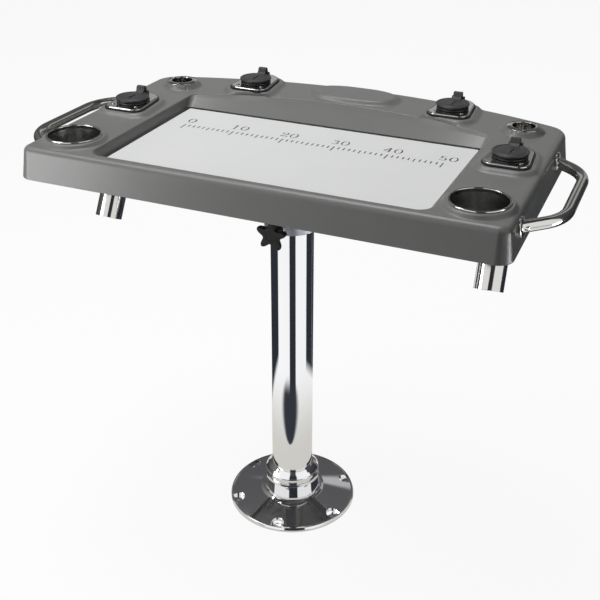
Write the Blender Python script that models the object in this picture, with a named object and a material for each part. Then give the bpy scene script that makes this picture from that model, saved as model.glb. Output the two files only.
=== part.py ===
"""Bait and tackle table on a pedestal: metres, +Z up, origin on the floor at the post's axis."""

from math import acos, asin, atan2, cos, hypot, pi, radians, sin, sqrt, tan

import bmesh
import bpy
from mathutils import Vector

# Clearances
GAP = 0.0003
HOLE_CLEARANCE = 0.0012

# Pedestal
BASE_RADIUS = 0.1262
BASE_EDGE_HEIGHT = 0.0045
BASE_RIM_HEIGHT = 0.009
BASE_RIM_WIDTH = 0.0045
BASE_CONE_HEIGHT = 0.022
BASE_WALL = 0.006
BASE_FOOT_WIDTH = 0.016
SOCKET_FLOOR = 0.008
SOCKET_RADIUS = 0.0555
SOCKET_HEIGHT = 0.058
NOTCH_COUNT = 6
NOTCH_FIRST_ANGLE = radians(-81.0)
NOTCH_SETBACK = 0.0125
NOTCH_RADIUS = 0.0125
NOTCH_SPREAD = 1.08
NOTCH_FLOOR = 0.0045
SCREW_HOLE_RADIUS = 0.0036
RING_RADIUS = 0.0535
RING_HEIGHT = 0.0245
RING_TAPER = 0.012
POST_RADIUS = 0.040
POST_WALL = 0.003
POST_LENGTH = 0.697

# Swivel and socket casting
BUSH_WALL = 0.003
BUSH_CROWN = 0.006
SOCKET_DROP = 0.107
SOCKET_WALL = 0.006
HUB_FLANGE_RADIUS = 0.096
HUB_FLANGE_THICKNESS = 0.008
FLANGE_FILLET = 0.006
FLANGE_SLOPE = 0.002
HUB_RIB_COUNT = 6
HUB_RIB_THICKNESS = 0.005
HUB_RIB_HEIGHT = 0.045
HUB_BOLT_COUNT = 6
HUB_BOLT_CIRCLE = 0.080
HUB_BOLT_RADIUS = 0.003
HUB_BOLT_HEAD_RADIUS = 0.006
HUB_BOLT_HEAD_HEIGHT = 0.004
KNOB_HEIGHT = 0.015
KNOB_BOSS_RADIUS = 0.012
KNOB_BOSS_LENGTH = 0.011
KNOB_TIP_RADIUS = 0.029
KNOB_WAIST_RADIUS = 0.0165
KNOB_LOBES = 5
KNOB_FIRST_LOBE = radians(86.0)
KNOB_THICKNESS = 0.012
KNOB_NECK_RADIUS = 0.0115
KNOB_NECK_LENGTH = 0.018
KNOB_EDGE = 0.003
STUD_RADIUS = 0.005

# Tray
TRAY_FRONT = -0.1935
TRAY_BACK = 0.365
TRAY_FRONT_HALF = 0.4288
SIDE_TAPER = 0.008
TRAY_BACK_HALF = TRAY_FRONT_HALF - SIDE_TAPER
TRAY_FRONT_CORNER = 0.020
TRAY_BACK_CORNER = 0.045
TRAY_BACK_BOW = 1.130
TRAY_WALL = 0.005
SKIRT_DEPTH = 0.0565
SKIRT_DRAFT = 0.0065
EDGE_ROUND = 0.012
TRAY_INSIDE_DROP = 0.010
CUT_BEYOND = 0.010
RECESS_FRONT = -0.173
RECESS_BACK = 0.252
SIDE_DECK = 0.1278
RECESS_HALF = TRAY_FRONT_HALF - SIDE_DECK
RECESS_FRONT_CORNER = 0.024
RECESS_BACK_CORNER = 0.018
RECESS_BACK_BOW = 0.810
RECESS_CREASE = 0.003
BOARD_FRONT = -0.166
BOARD_BACK = 0.1615
RECESS_SIDE_FLARE = 0.0115
BOARD_HALF = RECESS_HALF - RECESS_SIDE_FLARE
BOARD_FRONT_CORNER = 0.020
BOARD_BACK_CORNER = 0.003
BOARD_THICKNESS = 0.010
BOARD_DROP = 0.018
BOARD_MARGIN = 0.0015
BOARD_EDGE = 0.001
STRAIGHT_BOW = 80.0
RIB_HEIGHT = 0.018
RIB_THICKNESS = 0.004
LONG_RIB_Y = (-0.120, 0.120)
CROSS_RIB_X = (-0.235, -0.125, 0.125, 0.235)

# Raised pads of the deck
PAD_HEIGHT = 0.007
PAD_SKIRT = 0.012
PAD_EDGE_INSET = 0.005
EMBLEM_FROM_BACK = 0.060
EMBLEM_HALF_WIDTH = 0.097
EMBLEM_HALF_DEPTH = 0.046
EMBLEM_HEIGHT = 0.008

# Rod holders
SIDE_HOLDER_FROM_EDGE = 0.0658
SIDE_HOLDER_Y = 0.072
BACK_HOLDER_X = 0.204
BACK_HOLDER_FROM_EDGE = 0.085
HOLDER_TILT = radians(27.0)
HOLDER_SPLAY = radians(2.0)
HOLDER_RADIUS = 0.025
HOLDER_WALL = 0.0015
HOLDER_LENGTH = 0.225
FLANGE_FRONT_X = 0.024
FLANGE_FRONT_Y = -0.028
FLANGE_FRONT_ROUND = 0.014
FLANGE_BACK_Y = 0.025
FLANGE_BACK_ROUND = 0.033
FLANGE_THICKNESS = 0.0025
GASKET_THICKNESS = 0.0025
GASKET_MARGIN = 0.0025
PAD_MARGIN = 0.006
LINER_WALL = 0.003
LINER_LENGTH = 0.075
LINER_RIM_RADIUS = 0.0298
LINER_RIM_THICKNESS = 0.003
CAP_RADIUS = 0.0315
CAP_FOOT_RADIUS = 0.0280
CAP_THICKNESS = 0.0065
CAP_CROWN = 0.001
CAP_PLUG_RADIUS = 0.0180
CAP_PLUG_DEPTH = 0.005
HINGE_OFFSET = 0.0370
HINGE_PIN_RADIUS = 0.0020
HINGE_BARREL_RADIUS = 0.0042
HINGE_CLEARANCE = 0.0003
TAB_WIDTH = 0.0165
TAB_THICKNESS = 0.0075
TAB_RISE = 0.0105
EAR_THICKNESS = 0.0035
EAR_OVERLAP = 0.005

# Drink holders and ring holders
CUP_FROM_EDGE = 0.0653
CUP_FROM_FRONT = 0.073
CUP_MOUTH_RADIUS = 0.0460
CUP_RIM_RADIUS = 0.0490
CUP_RIM_HEIGHT = 0.003
CUP_WALL = 0.0012
CUP_FOOT_RADIUS = 0.0400
CUP_DEPTH = 0.056
CUP_PAD_RADIUS = 0.0525
CUP_PAD_SKIRT = 0.0075
RING_FROM_EDGE = 0.0723
RING_FROM_BACK = 0.129
RING_BORE_RADIUS = 0.0203
RING_TUBE_WALL = 0.0015
RING_FLANGE_RADIUS = 0.0305
RING_FLANGE_THICKNESS = 0.0025
RING_TUBE_LENGTH = 0.060
RING_STEP_HEIGHT = 0.0045
RING_PAD_HEIGHT = 0.009
RING_PAD_RADIUS = 0.0320
RING_STEP_RADIUS = 0.0350

# Handles
HANDLE_RADIUS = 0.0098
HANDLE_DROP = 0.0225
HANDLE_FRONT_FOOT = -0.126
HANDLE_BACK_FOOT = 0.171
HANDLE_FRONT_BEND = -0.070
HANDLE_BACK_BEND = 0.126
HANDLE_REACH = 0.0575
HANDLE_BEND_RADIUS = 0.046
FERRULE_RADIUS = 0.0170
FERRULE_LENGTH = 0.004
HANDLE_BOLT_RADIUS = 0.004
HANDLE_BOLT_GRIP = 0.014
HANDLE_BOLT_HEAD_RADIUS = 0.0085
HANDLE_BOLT_HEAD_HEIGHT = 0.005

# Facets
EDGE_STEPS = 3
BOW_STEPS = 12
ROUND_STEPS = 36
CUP_STEPS = 24
SMALL_STEPS = 18
FINE_STEPS = 12
BOLT_STEPS = 6
PIN_STEPS = 8
FERRULE_STEPS = 16

# Places that follow from the tray's edges
SIDE_HOLDER = (TRAY_FRONT_HALF - SIDE_HOLDER_FROM_EDGE, SIDE_HOLDER_Y)
BACK_HOLDER = (BACK_HOLDER_X, TRAY_BACK - BACK_HOLDER_FROM_EDGE)
CUP_CENTRE = (TRAY_FRONT_HALF - CUP_FROM_EDGE, TRAY_FRONT + CUP_FROM_FRONT)
RING_CENTRE = (TRAY_BACK_HALF - RING_FROM_EDGE, TRAY_BACK - RING_FROM_BACK)
EMBLEM_CENTRE_Y = TRAY_BACK - EMBLEM_FROM_BACK

# Heights that follow from the stack of pieces
POST_BOTTOM = SOCKET_FLOOR + GAP
POST_TOP = POST_BOTTOM + POST_LENGTH
CROWN_TOP = POST_TOP + GAP + BUSH_CROWN
HUB_TOP = CROWN_TOP + GAP + HUB_FLANGE_THICKNESS
PAN_UNDERSIDE = HUB_TOP + GAP
PAN_FLOOR = PAN_UNDERSIDE + TRAY_WALL
BOARD_BOTTOM = PAN_FLOOR + GAP
BOARD_TOP = BOARD_BOTTOM + BOARD_THICKNESS
DECK = BOARD_TOP + BOARD_DROP
SKIRT_BOTTOM = DECK - SKIRT_DEPTH
DECK_UNDERSIDE = DECK - TRAY_WALL
PAD_TOP = DECK + PAD_HEIGHT
SOCKET_BOTTOM = HUB_TOP - HUB_FLANGE_THICKNESS - SOCKET_DROP
KNOB_LEVEL = SOCKET_BOTTOM + KNOB_HEIGHT
BUSH_INNER = POST_RADIUS + GAP
BUSH_OUTER = BUSH_INNER + BUSH_WALL
SLEEVE_INNER = BUSH_OUTER + GAP
SLEEVE_OUTER = SLEEVE_INNER + SOCKET_WALL
GASKET_BOTTOM = PAD_TOP + GAP
FLANGE_BOTTOM = GASKET_BOTTOM + GASKET_THICKNESS + GAP
FLANGE_TOP = FLANGE_BOTTOM + FLANGE_THICKNESS
RIM_BOTTOM = FLANGE_TOP + GAP
RIM_TOP = RIM_BOTTOM + LINER_RIM_THICKNESS
CAP_BOTTOM = RIM_TOP + GAP
HINGE_LEVEL = RIM_TOP + GAP + HINGE_BARREL_RADIUS
HANDLE_LEVEL = DECK - HANDLE_DROP
LINER_OUTER = HOLDER_RADIUS - HOLDER_WALL - GAP
LINER_INNER = LINER_OUTER - LINER_WALL


def clear_scene():
    """Remove every object, so that the file holds only this model."""
    for item in list(bpy.data.objects):
        bpy.data.objects.remove(item, do_unlink=True)


def material(name, colour, roughness, metallic=0.0):
    """Return a Principled material of one colour."""
    made = bpy.data.materials.new(name)
    made.use_nodes = True
    shader = made.node_tree.nodes["Principled BSDF"]
    shader.inputs["Base Color"].default_value = (*colour, 1.0)
    shader.inputs["Roughness"].default_value = roughness
    shader.inputs["Metallic"].default_value = metallic
    made.diffuse_color = (*colour, 1.0)
    return made


def finish_mesh(name, bm):
    """Merge doubles, face everything outwards, shade smooth by angle and return the mesh."""
    bmesh.ops.remove_doubles(bm, verts=bm.verts, dist=0.000001)
    bmesh.ops.recalc_face_normals(bm, faces=bm.faces)
    mesh = bpy.data.meshes.new(name)
    bm.to_mesh(mesh)
    bm.free()
    mesh.shade_smooth()
    mesh.set_sharp_from_angle(angle=radians(35.0))
    return mesh


def place(name, mesh, finish, location=(0.0, 0.0, 0.0), parent=None):
    """Make an object from a mesh, at a place in its parent's frame."""
    made = bpy.data.objects.new(name, mesh)
    bpy.context.collection.objects.link(made)
    if finish and not mesh.materials:
        mesh.materials.append(finish)
    made.location = location
    made.parent = parent
    return made


def pivot(name, location, parent=None):
    """Make an empty that stands on a joint's axis."""
    made = bpy.data.objects.new(name, None)
    made.empty_display_size = 0.02
    bpy.context.collection.objects.link(made)
    made.location = location
    made.parent = parent
    return made


def combine(target, operation, mesh, location=(0.0, 0.0, 0.0)):
    """Cut or add a mesh with a Boolean modifier; the helper object is a hidden wire."""
    index = len(target.modifiers)
    helper = place(f"{target.name}_{operation.lower()}_{index}", mesh, None, location)
    helper.parent = target.parent
    helper.hide_render = True
    helper.display_type = "WIRE"
    step = target.modifiers.new(helper.name, "BOOLEAN")
    step.operation = operation
    step.solver = "EXACT"
    step.object = helper


def lathe(name, profile, steps):
    """Turn a profile of (radius, height) points about Z; an open profile ends on the axis."""
    bm = bmesh.new()
    points = [bm.verts.new((radius, 0.0, height)) for radius, height in profile]
    edges = [bm.edges.new(pair) for pair in zip(points, points[1:])]
    if profile[0][0] > 0.0:
        edges.append(bm.edges.new((points[-1], points[0])))
    bmesh.ops.spin(bm, geom=points + edges, cent=(0, 0, 0), axis=(0, 0, 1),
                   angle=2.0 * pi, steps=steps, use_merge=True, use_duplicate=False)
    return finish_mesh(name, bm)


def loft(name, rings, closed=False):
    """Bridge rings of equal length; ends are capped, or joined to each other when closed."""
    bm = bmesh.new()
    rows = [[bm.verts.new(point) for point in ring] for ring in rings]
    pairs = list(zip(rows, rows[1:]))
    if closed:
        pairs.append((rows[-1], rows[0]))
    count = len(rows[0])
    for lower, upper in pairs:
        for index in range(count):
            following = (index + 1) % count
            bm.faces.new((lower[index], lower[following], upper[following], upper[index]))
    if not closed:
        bm.faces.new(list(reversed(rows[0])))
        bm.faces.new(rows[-1])
    return finish_mesh(name, bm)


def circle(radius, height, steps, centre=(0.0, 0.0)):
    """Return one horizontal ring of points, turned by half a facet from the X axis."""
    turn = 2.0 * pi / steps
    return [(centre[0] + radius * cos(turn * (k + 0.5)),
             centre[1] + radius * sin(turn * (k + 0.5)), height) for k in range(steps)]


def along_y(ring_of_x_z, depth):
    """Stand a flat outline in the plane at the given depth."""
    return [(x, depth, z) for x, z in ring_of_x_z]


def box(name, low, high):
    """Return a block between two corners."""
    corners = [(low[0], low[1]), (high[0], low[1]), (high[0], high[1]), (low[0], high[1])]
    return loft(name, [[(x, y, z) for x, y in corners] for z in (low[2], high[2])])


def arc(centre, radius, start, end, steps):
    """Return points on an arc, both ends included."""
    return [(centre[0] + radius * cos(start + (end - start) * k / steps),
             centre[1] + radius * sin(start + (end - start) * k / steps))
            for k in range(steps + 1)]


def plan_outline(front, back, front_half, back_half, front_corner, back_corner, bow, outset=0.0,
                 bow_steps=BOW_STEPS):
    """Outline with a straight front, round corners and a back edge bowed to a large radius.

    The back corner's circle touches the bow's circle from inside. A positive outset moves the
    whole outline outwards and keeps every centre.
    """
    bow_centre = back - bow
    corner_x = back_half - back_corner
    corner_y = bow_centre + sqrt((bow - back_corner) ** 2 - corner_x ** 2)
    meeting = atan2(corner_y - bow_centre, corner_x)
    front_centre = (front_half - front_corner, front + front_corner)
    right = arc(front_centre, front_corner + outset, -pi / 2.0, 0.0, 5)
    right += arc((corner_x, corner_y), back_corner + outset, 0.0, meeting, 6)
    bowed = arc((0.0, bow_centre), bow + outset, meeting, pi - meeting, bow_steps)[1:-1]
    left = [(-x, y) for x, y in reversed(right)]
    return right + bowed + left


def tray_outline(outset=0.0):
    """Outline of the skirt's outer face."""
    return plan_outline(TRAY_FRONT, TRAY_BACK, TRAY_FRONT_HALF, TRAY_BACK_HALF,
                        TRAY_FRONT_CORNER, TRAY_BACK_CORNER, TRAY_BACK_BOW, outset)


def recess_top_outline(outset=0.0):
    """Outline of the recess where it meets the deck."""
    return plan_outline(RECESS_FRONT, RECESS_BACK, RECESS_HALF, RECESS_HALF,
                        RECESS_FRONT_CORNER, RECESS_BACK_CORNER, RECESS_BACK_BOW, outset)


def board_outline(outset=0.0, bow_steps=BOW_STEPS):
    """Outline of the cutting board."""
    return plan_outline(BOARD_FRONT, BOARD_BACK, BOARD_HALF, BOARD_HALF,
                        BOARD_FRONT_CORNER, BOARD_BACK_CORNER, STRAIGHT_BOW, outset, bow_steps)


def between(low, high, share):
    """Blend two outlines point by point."""
    return [(a[0] + (b[0] - a[0]) * share, a[1] + (b[1] - a[1]) * share)
            for a, b in zip(low, high)]


def at_height(outline, height):
    """Lay an outline at one height."""
    return [(x, y, height) for x, y in outline]


def back_limit(x, inset):
    """Return how far back a pad may reach at x, so that it stays on the deck."""
    bow_centre = TRAY_BACK - TRAY_BACK_BOW
    return bow_centre + sqrt((TRAY_BACK_BOW - inset) ** 2 - x * x)


def side_limit(y, inset):
    """Return how far sideways a pad may reach at y, so that it stays on the deck."""
    share = (y - TRAY_FRONT) / (TRAY_BACK - TRAY_FRONT)
    return TRAY_FRONT_HALF + (TRAY_BACK_HALF - TRAY_FRONT_HALF) * share - inset


def kept_on_deck(outline, inset):
    """Pull points of a pad's outline in from the tray's edges."""
    kept = []
    for x, y in outline:
        limit = side_limit(y, inset)
        x = max(-limit, min(limit, x))
        y = min(back_limit(x, inset), max(TRAY_FRONT + inset, y))
        kept.append((x, y))
    return kept


def flange_outline(outset=0.0):
    """Shield outline of a rod holder's flange: two small front rounds and one large back round."""
    front_round = FLANGE_FRONT_ROUND + outset
    back_round = FLANGE_BACK_ROUND + outset
    reach = hypot(FLANGE_FRONT_X, FLANGE_BACK_Y - FLANGE_FRONT_Y)
    slant = atan2(FLANGE_FRONT_X, FLANGE_BACK_Y - FLANGE_FRONT_Y)
    tangent = asin((FLANGE_BACK_ROUND - FLANGE_FRONT_ROUND) / reach) - slant
    right = arc((FLANGE_FRONT_X, FLANGE_FRONT_Y), front_round, -pi / 2.0, -tangent, 3)
    back = arc((0.0, FLANGE_BACK_Y), back_round, -tangent, pi + tangent, 10)
    left = [(-x, y) for x, y in reversed(right)]
    return right + back + left


def tilted_ring(radius, reach, steps, side, top_level=None):
    """Ring round a rod holder's slanted axis, in the flange's own frame.

    reach is measured down the axis from the origin, and side is the side of the table that the
    tube splays towards. With a top level, the ring is drawn where the tube's wall meets that
    level instead, so the tube ends flush with a flat plate.
    """
    axis = Vector((side * sin(HOLDER_SPLAY), -sin(HOLDER_TILT) * cos(HOLDER_SPLAY),
                   -cos(HOLDER_TILT) * cos(HOLDER_SPLAY)))
    level_side = (Vector((1.0, 0.0, 0.0)) - axis * axis.x).normalized()
    across = axis.cross(level_side)
    ring = []
    for k in range(steps):
        turn = 2.0 * pi * (k + 0.5) / steps
        spoke = level_side * (radius * cos(turn)) + across * (radius * sin(turn))
        length = reach
        if top_level is not None:
            length = (top_level - spoke.z) / axis.z
        ring.append(tuple(spoke + axis * length))
    return ring


def tilted_bar(name, radius, side, top_level, length):
    """Solid slanted bar from a level plane down the rod holder's axis."""
    return loft(name, [tilted_ring(radius, 0.0, SMALL_STEPS, side, top_level),
                       tilted_ring(radius, length, SMALL_STEPS, side)])


def build_base(finish):
    """Conical base with a post socket, a hollow underside and six open screw notches."""
    rim_radius = BASE_RADIUS - 0.0018
    shoulder = SOCKET_RADIUS + 0.0065
    under = BASE_WALL
    profile = [
        (0.0, 0.0),
        (SOCKET_RADIUS - 0.002, 0.0),
        (SOCKET_RADIUS + 0.002, BASE_CONE_HEIGHT - under - 0.001),
        (BASE_RADIUS - BASE_FOOT_WIDTH - 0.003, BASE_RIM_HEIGHT - under + 0.0015),
        (BASE_RADIUS - BASE_FOOT_WIDTH, 0.0),
        (BASE_RADIUS, 0.0),
        (BASE_RADIUS, BASE_EDGE_HEIGHT),
        (rim_radius, BASE_RIM_HEIGHT),
        (BASE_RADIUS - BASE_RIM_WIDTH, BASE_RIM_HEIGHT),
        (BASE_RADIUS - BASE_RIM_WIDTH - 0.001, BASE_RIM_HEIGHT - 0.0005),
        (shoulder, BASE_CONE_HEIGHT - 0.0015),
        (SOCKET_RADIUS + 0.0012, BASE_CONE_HEIGHT + 0.003),
        (SOCKET_RADIUS, SOCKET_HEIGHT - 0.002),
        (SOCKET_RADIUS - 0.0015, SOCKET_HEIGHT),
        (POST_RADIUS + GAP, SOCKET_HEIGHT),
        (POST_RADIUS + GAP, SOCKET_FLOOR),
        (0.0, SOCKET_FLOOR),
    ]
    base = place("base_flange", lathe("base_flange", profile, ROUND_STEPS), finish)
    for k in range(NOTCH_COUNT):
        angle = NOTCH_FIRST_ANGLE + 2.0 * pi * k / NOTCH_COUNT
        out = Vector((cos(angle), sin(angle)))
        side = Vector((-sin(angle), cos(angle)))
        centre = out * (BASE_RADIUS - NOTCH_SETBACK)
        half_round = arc((0.0, 0.0), NOTCH_RADIUS, pi / 2.0, 3.0 * pi / 2.0, 6)
        reach = NOTCH_SETBACK - BASE_RIM_WIDTH
        outline = half_round + [(reach, -NOTCH_RADIUS), (reach, NOTCH_RADIUS)]
        rings = []
        for height, spread in ((NOTCH_FLOOR, 1.0), (BASE_CONE_HEIGHT, NOTCH_SPREAD)):
            ring = [centre + out * (u * spread if u < 0.0 else u) + side * (v * spread)
                    for u, v in outline]
            rings.append([(point.x, point.y, height) for point in ring])
        combine(base, "DIFFERENCE", loft(f"notch_{k}", rings))
        hole = [circle(SCREW_HOLE_RADIUS, height, FINE_STEPS, tuple(centre))
                for height in (-0.002, NOTCH_FLOOR + 0.002)]
        combine(base, "DIFFERENCE", loft(f"screw_hole_{k}", hole))
    return base


def build_collar_ring(finish):
    """Tapered ring that closes the socket round the post."""
    bottom = SOCKET_HEIGHT + GAP
    straight = bottom + RING_HEIGHT - RING_TAPER
    inner = POST_RADIUS + GAP
    profile = [
        (inner, bottom),
        (RING_RADIUS - 0.0018, bottom),
        (RING_RADIUS, bottom + 0.002),
        (RING_RADIUS - 0.0006, straight),
        (inner + 0.0025, bottom + RING_HEIGHT),
        (inner, bottom + RING_HEIGHT),
    ]
    return place("base_collar_ring", lathe("base_collar_ring", profile, ROUND_STEPS), finish)


def build_post(finish):
    """Post tube, open at both ends."""
    profile = [
        (POST_RADIUS - POST_WALL, POST_BOTTOM),
        (POST_RADIUS, POST_BOTTOM),
        (POST_RADIUS, POST_TOP),
        (POST_RADIUS - POST_WALL, POST_TOP),
    ]
    return place("post_tube", lathe("post_tube", profile, ROUND_STEPS), finish)


def build_bush(finish, parent):
    """Thimble that sits over the post's top, so that the table turns and lifts off."""
    profile = [
        (0.0, CROWN_TOP - BUSH_CROWN),
        (BUSH_INNER, CROWN_TOP - BUSH_CROWN),
        (BUSH_INNER, SOCKET_BOTTOM),
        (BUSH_OUTER, SOCKET_BOTTOM),
        (BUSH_OUTER, CROWN_TOP),
        (0.0, CROWN_TOP),
    ]
    return place("swivel_bush", lathe("swivel_bush", profile, ROUND_STEPS), finish, parent=parent)


def build_hub(finish, parent):
    """Cast socket under the tray: flange, ribbed sleeve and the boss that takes the knob's stud."""
    roof = CROWN_TOP + GAP
    profile = [
        (0.0, roof),
        (SLEEVE_INNER, roof),
        (SLEEVE_INNER, SOCKET_BOTTOM),
        (SLEEVE_OUTER - 0.001, SOCKET_BOTTOM),
        (SLEEVE_OUTER, SOCKET_BOTTOM + 0.001),
        (SLEEVE_OUTER, roof - FLANGE_FILLET),
        (SLEEVE_OUTER + FLANGE_FILLET, roof),
        (HUB_FLANGE_RADIUS, roof + FLANGE_SLOPE),
        (HUB_FLANGE_RADIUS, HUB_TOP),
        (0.0, HUB_TOP),
    ]
    hub = place("tray_hub", lathe("tray_hub", profile, ROUND_STEPS), finish, parent=parent)
    inset = 0.003
    for k in range(HUB_RIB_COUNT):
        angle = pi / 2.0 + 2.0 * pi * k / HUB_RIB_COUNT
        out = Vector((cos(angle), sin(angle)))
        side = Vector((-sin(angle), cos(angle))) * (HUB_RIB_THICKNESS / 2.0)
        foot = SLEEVE_OUTER - inset
        web = [(foot, roof + inset), (foot, roof - HUB_RIB_HEIGHT),
               (SLEEVE_OUTER + inset, roof - HUB_RIB_HEIGHT),
               (HUB_FLANGE_RADIUS - 2.0 * inset, roof + inset)]
        rings = []
        for sign in (-1.0, 1.0):
            rings.append([tuple(out * reach + side * sign) + (height,) for reach, height in web])
        combine(hub, "UNION", loft(f"hub_rib_{k}", rings))
    steps = SMALL_STEPS
    boss_ring = [(KNOB_BOSS_RADIUS * cos(2.0 * pi * k / steps),
                  KNOB_LEVEL + KNOB_BOSS_RADIUS * sin(2.0 * pi * k / steps)) for k in range(steps)]
    boss = [along_y(boss_ring, depth) for depth in (-SLEEVE_OUTER + inset, -boss_face())]
    combine(hub, "UNION", loft("knob_boss", boss))
    bore_radius = STUD_RADIUS + GAP
    bore_ring = [(bore_radius * cos(2.0 * pi * k / FINE_STEPS),
                  KNOB_LEVEL + bore_radius * sin(2.0 * pi * k / FINE_STEPS))
                 for k in range(FINE_STEPS)]
    bore = [along_y(bore_ring, depth) for depth in (-SLEEVE_INNER + inset, -boss_face() - inset)]
    combine(hub, "DIFFERENCE", loft("stud_bore", bore))
    for k in range(HUB_BOLT_COUNT):
        hole = [circle(HUB_BOLT_RADIUS + GAP, height, BOLT_STEPS, bolt_place(k))
                for height in (roof - inset, HUB_TOP + inset)]
        combine(hub, "DIFFERENCE", loft(f"hub_hole_{k}", hole))
    return hub


def boss_face():
    """Distance of the knob boss's face from the post's axis."""
    return SLEEVE_OUTER + KNOB_BOSS_LENGTH


def bolt_place(index):
    """Place of one hub bolt, midway between two ribs."""
    angle = pi / 2.0 + 2.0 * pi * (index + 0.5) / HUB_BOLT_COUNT
    return (HUB_BOLT_CIRCLE * cos(angle), HUB_BOLT_CIRCLE * sin(angle))


def build_hub_bolts(finish, parent):
    """Hexagon bolts that hold the casting to the pan, heads below the flange."""
    slope_start = SLEEVE_OUTER + FLANGE_FILLET
    share = (HUB_BOLT_CIRCLE - slope_start) / (HUB_FLANGE_RADIUS - slope_start)
    seat = CROWN_TOP + GAP + FLANGE_SLOPE * share - 2.0 * GAP
    for k in range(HUB_BOLT_COUNT):
        centre = bolt_place(k)
        head = HUB_BOLT_HEAD_RADIUS
        rings = [circle(head, seat - HUB_BOLT_HEAD_HEIGHT, BOLT_STEPS, centre),
                 circle(head, seat, BOLT_STEPS, centre),
                 circle(HUB_BOLT_RADIUS, seat, BOLT_STEPS, centre),
                 circle(HUB_BOLT_RADIUS, PAN_FLOOR - 2.0 * GAP, BOLT_STEPS, centre)]
        place(f"hub_bolt_{k + 1}", loft("hub_bolt", rings), finish, parent=parent)


def knob_outline(inset):
    """Star outline in the X-Z plane: the radius swells and sinks once for each lobe."""
    middle = (KNOB_TIP_RADIUS + KNOB_WAIST_RADIUS) / 2.0
    swing = (KNOB_TIP_RADIUS - KNOB_WAIST_RADIUS) / 2.0
    steps = KNOB_LOBES * 7
    outline = []
    for k in range(steps):
        turn = 2.0 * pi * k / steps
        radius = middle + swing * cos(KNOB_LOBES * (turn - KNOB_FIRST_LOBE)) - inset
        outline.append((radius * cos(turn), radius * sin(turn)))
    return outline


def build_knob(finish, steel, parent):
    """Five-lobed knob and its stud, on the stud's axis."""
    neck_face = boss_face() + GAP
    lobes_back = neck_face + KNOB_NECK_LENGTH
    lobes_front = lobes_back + KNOB_THICKNESS
    knob_rings = [along_y(knob_outline(KNOB_EDGE), -lobes_back),
                  along_y(knob_outline(0.0), -lobes_back - KNOB_EDGE),
                  along_y(knob_outline(0.0), -lobes_front + KNOB_EDGE),
                  along_y(knob_outline(KNOB_EDGE), -lobes_front)]
    knob = place("locking_knob", loft("locking_knob", knob_rings), finish, parent=parent)
    steps = SMALL_STEPS
    neck_ring = [(KNOB_NECK_RADIUS * cos(2.0 * pi * k / steps),
                  KNOB_NECK_RADIUS * sin(2.0 * pi * k / steps)) for k in range(steps)]
    neck = [along_y(neck_ring, -neck_face), along_y(neck_ring, -lobes_back - KNOB_EDGE)]
    combine(knob, "UNION", loft("knob_neck", neck))
    depth = lobes_front - KNOB_EDGE
    socket_ring = [((STUD_RADIUS + GAP) * cos(2.0 * pi * k / FINE_STEPS),
                    (STUD_RADIUS + GAP) * sin(2.0 * pi * k / FINE_STEPS))
                   for k in range(FINE_STEPS)]
    socket = [along_y(socket_ring, -neck_face + KNOB_EDGE), along_y(socket_ring, -depth)]
    combine(knob, "DIFFERENCE", loft("knob_socket", socket))
    stud_ring = [(STUD_RADIUS * cos(2.0 * pi * k / FINE_STEPS),
                  STUD_RADIUS * sin(2.0 * pi * k / FINE_STEPS)) for k in range(FINE_STEPS)]
    stud_rings = [along_y(stud_ring, -BUSH_OUTER - GAP), along_y(stud_ring, -depth + GAP)]
    place("knob_stud", loft("knob_stud", stud_rings), steel, parent=parent)


def tray_pads(tray):
    """Raised pads under the fittings, and the plain raised oval at the back."""
    for name, (x, y) in holder_places().items():
        rings = []
        for height, spread in ((DECK - 0.003, PAD_SKIRT), (DECK, PAD_SKIRT),
                               (DECK + PAD_HEIGHT * 0.65, PAD_SKIRT * 0.4), (PAD_TOP, 0.0)):
            outline = [(x + u, y + v) for u, v in flange_outline(PAD_MARGIN + spread)]
            rings.append(at_height(kept_on_deck(outline, PAD_EDGE_INSET), height))
        combine(tray, "UNION", loft(f"pad_{name}", rings))
    for sign in (-1.0, 1.0):
        centre = (sign * CUP_CENTRE[0], CUP_CENTRE[1])
        rings = []
        for height, spread in ((DECK - 0.003, CUP_PAD_SKIRT), (DECK, CUP_PAD_SKIRT),
                               (DECK + PAD_HEIGHT * 0.7, CUP_PAD_SKIRT * 0.5), (PAD_TOP, 0.0)):
            ring = circle(CUP_PAD_RADIUS + spread, height, CUP_STEPS, centre)
            outline = kept_on_deck([(u, v) for u, v, _ in ring], PAD_EDGE_INSET)
            rings.append(at_height(outline, height))
        combine(tray, "UNION", loft("pad_cup", rings))
        centre = (sign * RING_CENTRE[0], RING_CENTRE[1])
        rings = [circle(radius, height, SMALL_STEPS, centre) for radius, height in (
            (RING_STEP_RADIUS + 0.0015, DECK - 0.003), (RING_STEP_RADIUS + 0.0015, DECK),
            (RING_STEP_RADIUS, DECK + RING_STEP_HEIGHT),
            (RING_PAD_RADIUS, DECK + RING_STEP_HEIGHT), (RING_PAD_RADIUS, DECK + RING_PAD_HEIGHT))]
        combine(tray, "UNION", loft("pad_ring", rings))
    rings = []
    for height, share in ((DECK - 0.003, 1.0), (DECK, 1.0), (DECK + 0.6 * EMBLEM_HEIGHT, 0.955),
                          (DECK + EMBLEM_HEIGHT, 0.86)):
        ring = []
        for k in range(CUP_STEPS):
            turn = 2.0 * pi * (k + 0.5) / CUP_STEPS
            squared = (abs(cos(turn)) ** 2.6 + abs(sin(turn)) ** 2.6) ** (-1.0 / 2.6)
            ring.append((EMBLEM_HALF_WIDTH * share * squared * cos(turn),
                         EMBLEM_CENTRE_Y + EMBLEM_HALF_DEPTH * share * squared * sin(turn)))
        rings.append(at_height(kept_on_deck(ring, PAD_EDGE_INSET), height))
    combine(tray, "UNION", loft("pad_emblem", rings))


def side_of(x):
    """Return which side of the table a place is on: -1 for left and 1 for right."""
    return -1.0 if x < 0.0 else 1.0


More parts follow.
